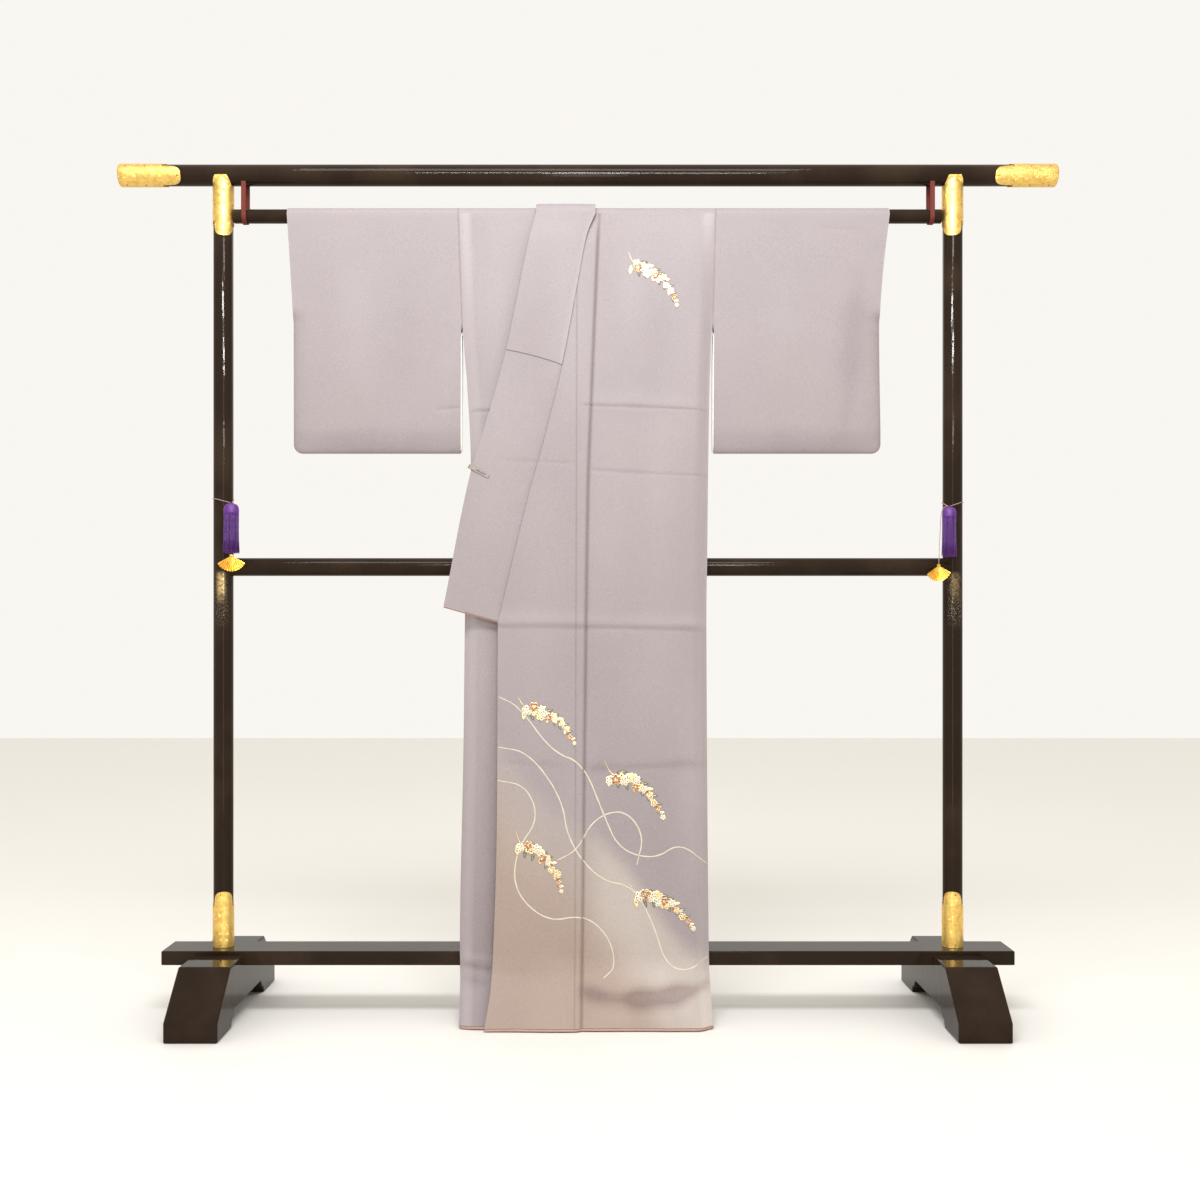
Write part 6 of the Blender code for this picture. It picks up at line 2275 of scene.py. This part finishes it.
@dataclass(frozen=True)
class Tassel:
    """One tassel with its string and the fan that hangs in its middle."""

    shop: Workshop
    side: str
    x: float
    top: float
    radius: float
    post_x: float
    fan_turn: float = 0.0
    fan_shift: tuple[float, float, float] = (0.0, 0.0, 0.0)
    depth: float = -0.0385
    length: float = 0.099
    head: float = 0.020
    head_sides: int = 56
    strands: int = 236
    strand_radius: float = 0.00062
    string_radius: float = 0.0010
    string_sides: int = 6
    twist: float = 0.0050        # length of one turn of the string's plies
    loop_rise: float = 0.0090
    head_clearing: tuple[tuple[float, float], ...] = (
        (0.0172, -0.0300), (0.0154, -0.0118), (0.0126, -0.0025), (0.0055, 0.0016))
    fan_radius: float = 0.031
    fan_half_spread: float = math.radians(62)
    fan_ribs: int = 12

    def build(self) -> None:
        """Make the head and the strands, the string and the fan."""
        self.build_strands()
        self.build_string()
        self.build_fan()

    def fan_place(self) -> Vector:
        """Find the fan's rivet, below the tassel or beside it."""
        rivet = Vector((self.x, self.depth, self.top - self.length - 0.0043))
        return rivet + Vector(self.fan_shift)

    def build_strands(self) -> None:
        """Make the domed head and, under it, the strands: each has three sides."""
        draw = np.random.default_rng(31 if self.side == "right" else 32)
        neck_z = self.top - self.head
        profile = ((0.95, -0.0010), (0.985, 0.002), (0.985, 0.0070), (0.955, 0.0110),
                   (0.87, 0.0150), (0.70, 0.0178), (0.45, 0.0194), (0.20, 0.0200))
        sides = self.head_sides
        points, marks = [], []
        for level, (out, up) in enumerate(profile):
            for angle in [TURN * k / sides for k in range(sides)]:
                reach = self.radius * out * (0.97 + 0.03 * math.cos(angle * sides / 2))
                points.append((self.x + reach * math.cos(angle),
                               self.depth + reach * math.sin(angle), neck_z + up))
                # the dome's top carries a painted highlight; the rest of the head is a little
                # lighter than the strands
                marks.append(0.75 if level > 4 else 0.22)
        faces = tube_faces(0, len(profile), sides)
        for k in range(self.strands):
            reach = self.radius * 0.965 * math.sqrt((k + 0.5) / self.strands)
            away = unit(k * math.pi * (3.0 - math.sqrt(5.0)))
            long = (self.length - self.head) * draw.uniform(0.91, 1.0)
            loose = 2.6 if draw.uniform() < 0.10 else 1.0
            stray = draw.normal(0.0, 0.0011, 2) * (reach / self.radius) * loose
            turn = draw.uniform(0.0, TURN)
            steps = (0.0, 0.12, 0.35, 0.65, 1.0)
            faces += [face[:1] + face[:0:-1] for face in tube_faces(len(points), len(steps), 3)]
            for share in steps:
                spread_out = 1.0 + 0.055 * share - 0.07 * math.sin(math.pi * share) * share
                middle = away * reach * spread_out + stray * share ** 1.5
                for side in range(3):
                    spot = middle + self.strand_radius * unit(turn + side * TURN / 3.0)
                    points.append((self.x + spot[0], self.depth + spot[1],
                                   neck_z - 0.0002 - long * share))
                    marks.append(0.12 * float(draw.uniform()))
        tassel = self.shop.mesh_piece("purple_tassel_" + self.side, points, faces,
                                      self.shop.palette.purple)
        self.shop.mark_points(tassel, "head", np.array(marks))
        self.shop.book(tassel, "tassel_purple", "tassel_" + self.side)

    def string_path(self) -> list[Vector]:
        """Find the string's middle: from the fan's own string, if any, round the post.

        Returns:
            The points along it.
        """
        radius = Stand.post_radius + GAP + self.string_radius
        toward = Vector((self.x - self.post_x, self.depth))
        facing = math.atan2(toward.y, toward.x)
        half = math.acos(radius / toward.length)
        knot_z = self.top + self.string_radius + GAP
        route = []
        if any(self.fan_shift):
            route = [self.fan_place() + Vector((0.0, 0.0, 0.0046))]
            route += [Vector((self.x - out, self.depth, self.top + up))
                      for out, up in self.head_clearing]
        route.append(Vector((self.x - 0.0016, self.depth, knot_z)))
        for step in range(41):
            angle = facing - half - (TURN - 2.0 * half) * step / 40
            rise = self.loop_rise + 0.0015 * (1.0 - math.cos(angle - facing))
            route.append(Vector((self.post_x + radius * math.cos(angle),
                                 radius * math.sin(angle), knot_z + rise)))
        route.append(Vector((self.x + 0.0016, self.depth, knot_z)))
        path = []
        for start, end in zip(route, route[1:]):
            parts = max(1, round((end - start).length / 0.0016))
            path += [start.lerp(end, k / parts) for k in range(parts)]
        return path + [route[-1]]

    def build_string(self) -> None:
        """Make the string: two plies twisted together."""
        path, sides, ply = self.string_path(), self.string_sides, 0.5 * self.string_radius
        points, faces = [], []
        for strand in range(2):
            faces += tube_faces(len(points), len(path), sides)
            travelled = 0.0
            for k, spot in enumerate(path):
                along = (path[min(k + 1, len(path) - 1)] - path[max(k - 1, 0)]).normalized()
                travelled += (spot - path[k - 1]).length if k else 0.0
                first = along.cross(Vector((0.0, 0.0, 1.0))).normalized()
                second = along.cross(first)
                phase = travelled / self.twist * TURN + strand * math.pi
                middle = spot + (first * math.cos(phase) + second * math.sin(phase)) * ply
                points += [middle + (first * math.cos(TURN * side / sides)
                                     + second * math.sin(TURN * side / sides)) * ply
                           for side in range(sides)]
        string = self.shop.mesh_piece("pink_string_" + self.side, points, faces,
                                      self.shop.palette.pink)
        self.shop.book(string, "string_pink", "tassel_string_" + self.side)

    def build_fan(self) -> None:
        """Make the fan: pleated from its knob, with a scalloped edge."""
        shop, rows = self.shop, []
        for reach in (0.075, 0.13, 0.30, 0.55, 0.78, 0.92, 1.0):
            row = []
            for share in [k / (8 * self.fan_ribs) for k in range(8 * self.fan_ribs + 1)]:
                angle = -math.pi / 2 + self.fan_half_spread * (2.0 * share - 1.0)
                pleat = math.cos(TURN * self.fan_ribs * share)
                scallop = 1.0 if reach < 0.9 else 0.982 - 0.018 * pleat
                out = self.fan_radius * reach * scallop
                row.append((out * math.cos(angle), 0.0010 * pleat * min(1.0, reach * 1.4),
                            out * math.sin(angle)))
            rows.append(row)
        fan = shop.grid_piece("gilt_fan_" + self.side, np.array(rows),
                              shop.palette.plain_gilt)
        place = Matrix.Translation(self.fan_place()) @ Matrix.Rotation(self.fan_turn, 4, "Z")
        fan.data.transform(place)
        shop.thicken(fan, 0.0009, 0.0002)
        shop.book(fan, "gold", "fan_" + self.side)
        profile = [(0.0, -0.0010), (0.0034, -0.0010), (0.0040, 0.0), (0.0034, 0.0010),
                   (0.0, 0.0013)]
        knob = shop.lathe("gilt_knob_" + self.side, profile,
                          place @ Matrix.Translation((0.0, 0.0, 0.0002))
                          @ Matrix.Rotation(math.pi / 2, 4, "X"), shop.palette.plain_gilt, 24)
        shop.book(knob, "gold")


# ------------------------------------------------------------------ the studio

@dataclass(frozen=True)
class Studio:
    """A pale floor, soft light from above and the front, and a level camera."""

    camera_y: float = -2.66
    camera_z: float = 0.749
    lens: float = 39.9
    shift: tuple[float, float] = (0.0100, 0.0292)
    floor_half: float = 7.0
    # across, up, height and power of each lamp that only glints on the lacquer
    lamps: tuple[tuple[float, float, float, float], ...] = (
        (-0.25, 2.116, 0.096, 46.0), (0.25, 1.928, 0.096, 46.0), (0.35, 2.346, 0.120, 12.0),
        (0.30, 1.585, 0.060, 6.0))

    def light(self, name: str, place: Sequence[float], aim: Sequence[float],
              size: tuple[float, float], power: float,
              colour: Colour = (1.0, 1.0, 1.0)) -> Piece:
        """Hang a soft rectangular light.

        Args:
            name: Its name.
            place: Where it hangs.
            aim: What it points at.
            size: Its width and height.
            power: Its power in watts.
            colour: Its colour.

        Returns:
            The light.
        """
        data = bpy.data.lights.new(name, "AREA")
        data.shape = "RECTANGLE"
        data.size, data.size_y = size
        data.energy = power
        data.color = colour
        lamp = bpy.data.objects.new(name, data)
        lamp.location = place
        lamp.rotation_euler = (Vector(aim) - Vector(place)).to_track_quat("-Z", "Y").to_euler()
        bpy.context.scene.collection.objects.link(lamp)
        return lamp

    def build(self, palette: Palette) -> None:
        """Set up the floor, the lights and the camera.

        Args:
            palette: The finishes, for the floor's.
        """
        scene = bpy.context.scene
        bm = bmesh.new()
        bmesh.ops.create_grid(bm, x_segments=8, y_segments=8, size=self.floor_half)
        mesh = bpy.data.meshes.new("studio_floor")
        bm.to_mesh(mesh)
        bm.free()
        mesh.materials.append(palette.floor)
        floor = bpy.data.objects.new("studio_floor", mesh)
        scene.collection.objects.link(floor)

        scene.world = bpy.data.worlds.new("studio_air")
        scene.world.use_nodes = True
        air = scene.world.node_tree.nodes["Background"]
        air.inputs["Color"].default_value = (1.0, 0.975, 0.930, 1.0)
        air.inputs["Strength"].default_value = 0.95
        scene.view_settings.view_transform = "Standard"
        self.light("front_light", (-0.20, -1.50, 3.05), (0.0, 0.0, 1.6), (1.9, 0.8), 66.0,
                   (0.93, 0.95, 1.0))
        glints = [("low_strip", 0.0, 0.90, (0.30, 2.4), 14.0)]
        glints += [("lamp_%d" % k, x, z, (0.90, tall), power)
                   for k, (x, z, tall, power) in enumerate(self.lamps)]
        for name, x, z, size, power in glints:
            lamp = self.light(name, (x, -2.90, z), (0.0, 0.0, 0.85), size, power)
            lamp.visible_diffuse = False

        data = bpy.data.cameras.new("camera")
        data.lens = self.lens
        data.shift_x, data.shift_y = self.shift
        camera = bpy.data.objects.new("camera", data)
        camera.location = (0.0, self.camera_y, self.camera_z)
        camera.rotation_euler = (math.pi / 2, 0.0, 0.0)
        scene.collection.objects.link(camera)
        scene.camera = camera


def write_sizes() -> None:
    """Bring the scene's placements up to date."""
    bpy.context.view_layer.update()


def main() -> None:
    """Dress the stand, hang the kimono and set up the studio."""
    logging.basicConfig(level=logging.INFO, format="%(name)s: %(message)s")
    shop, drape = Workshop(Palette()), Drape()
    carpentry = Carpentry(shop)
    carpentry.build_feet()
    carpentry.build_rails()
    carpentry.build_straps()
    Fittings(shop).build()
    Tassel(shop, "right", -0.7030, 1.0085, 0.0150, -Stand.post_x).build()
    Tassel(shop, "left", 0.7120, 1.0015, 0.0138, Stand.post_x, math.radians(-48),
           (-0.0215, -0.0035, -0.0130)).build()
    kimono = Kimono(shop, drape)
    kimono.build_body()
    kimono.build_overlaps()
    kimono.build_collar()
    kimono.build_hem()
    [Sleeve(shop, drape, side).build() for _, side in SIDES]
    lay_design(shop, drape)
    Clip().build(shop, drape)
    Studio().build(shop.palette)
    LOG.info("%d pieces made", shop.count)
    write_sizes()


if __name__ == "__main__":
    main()
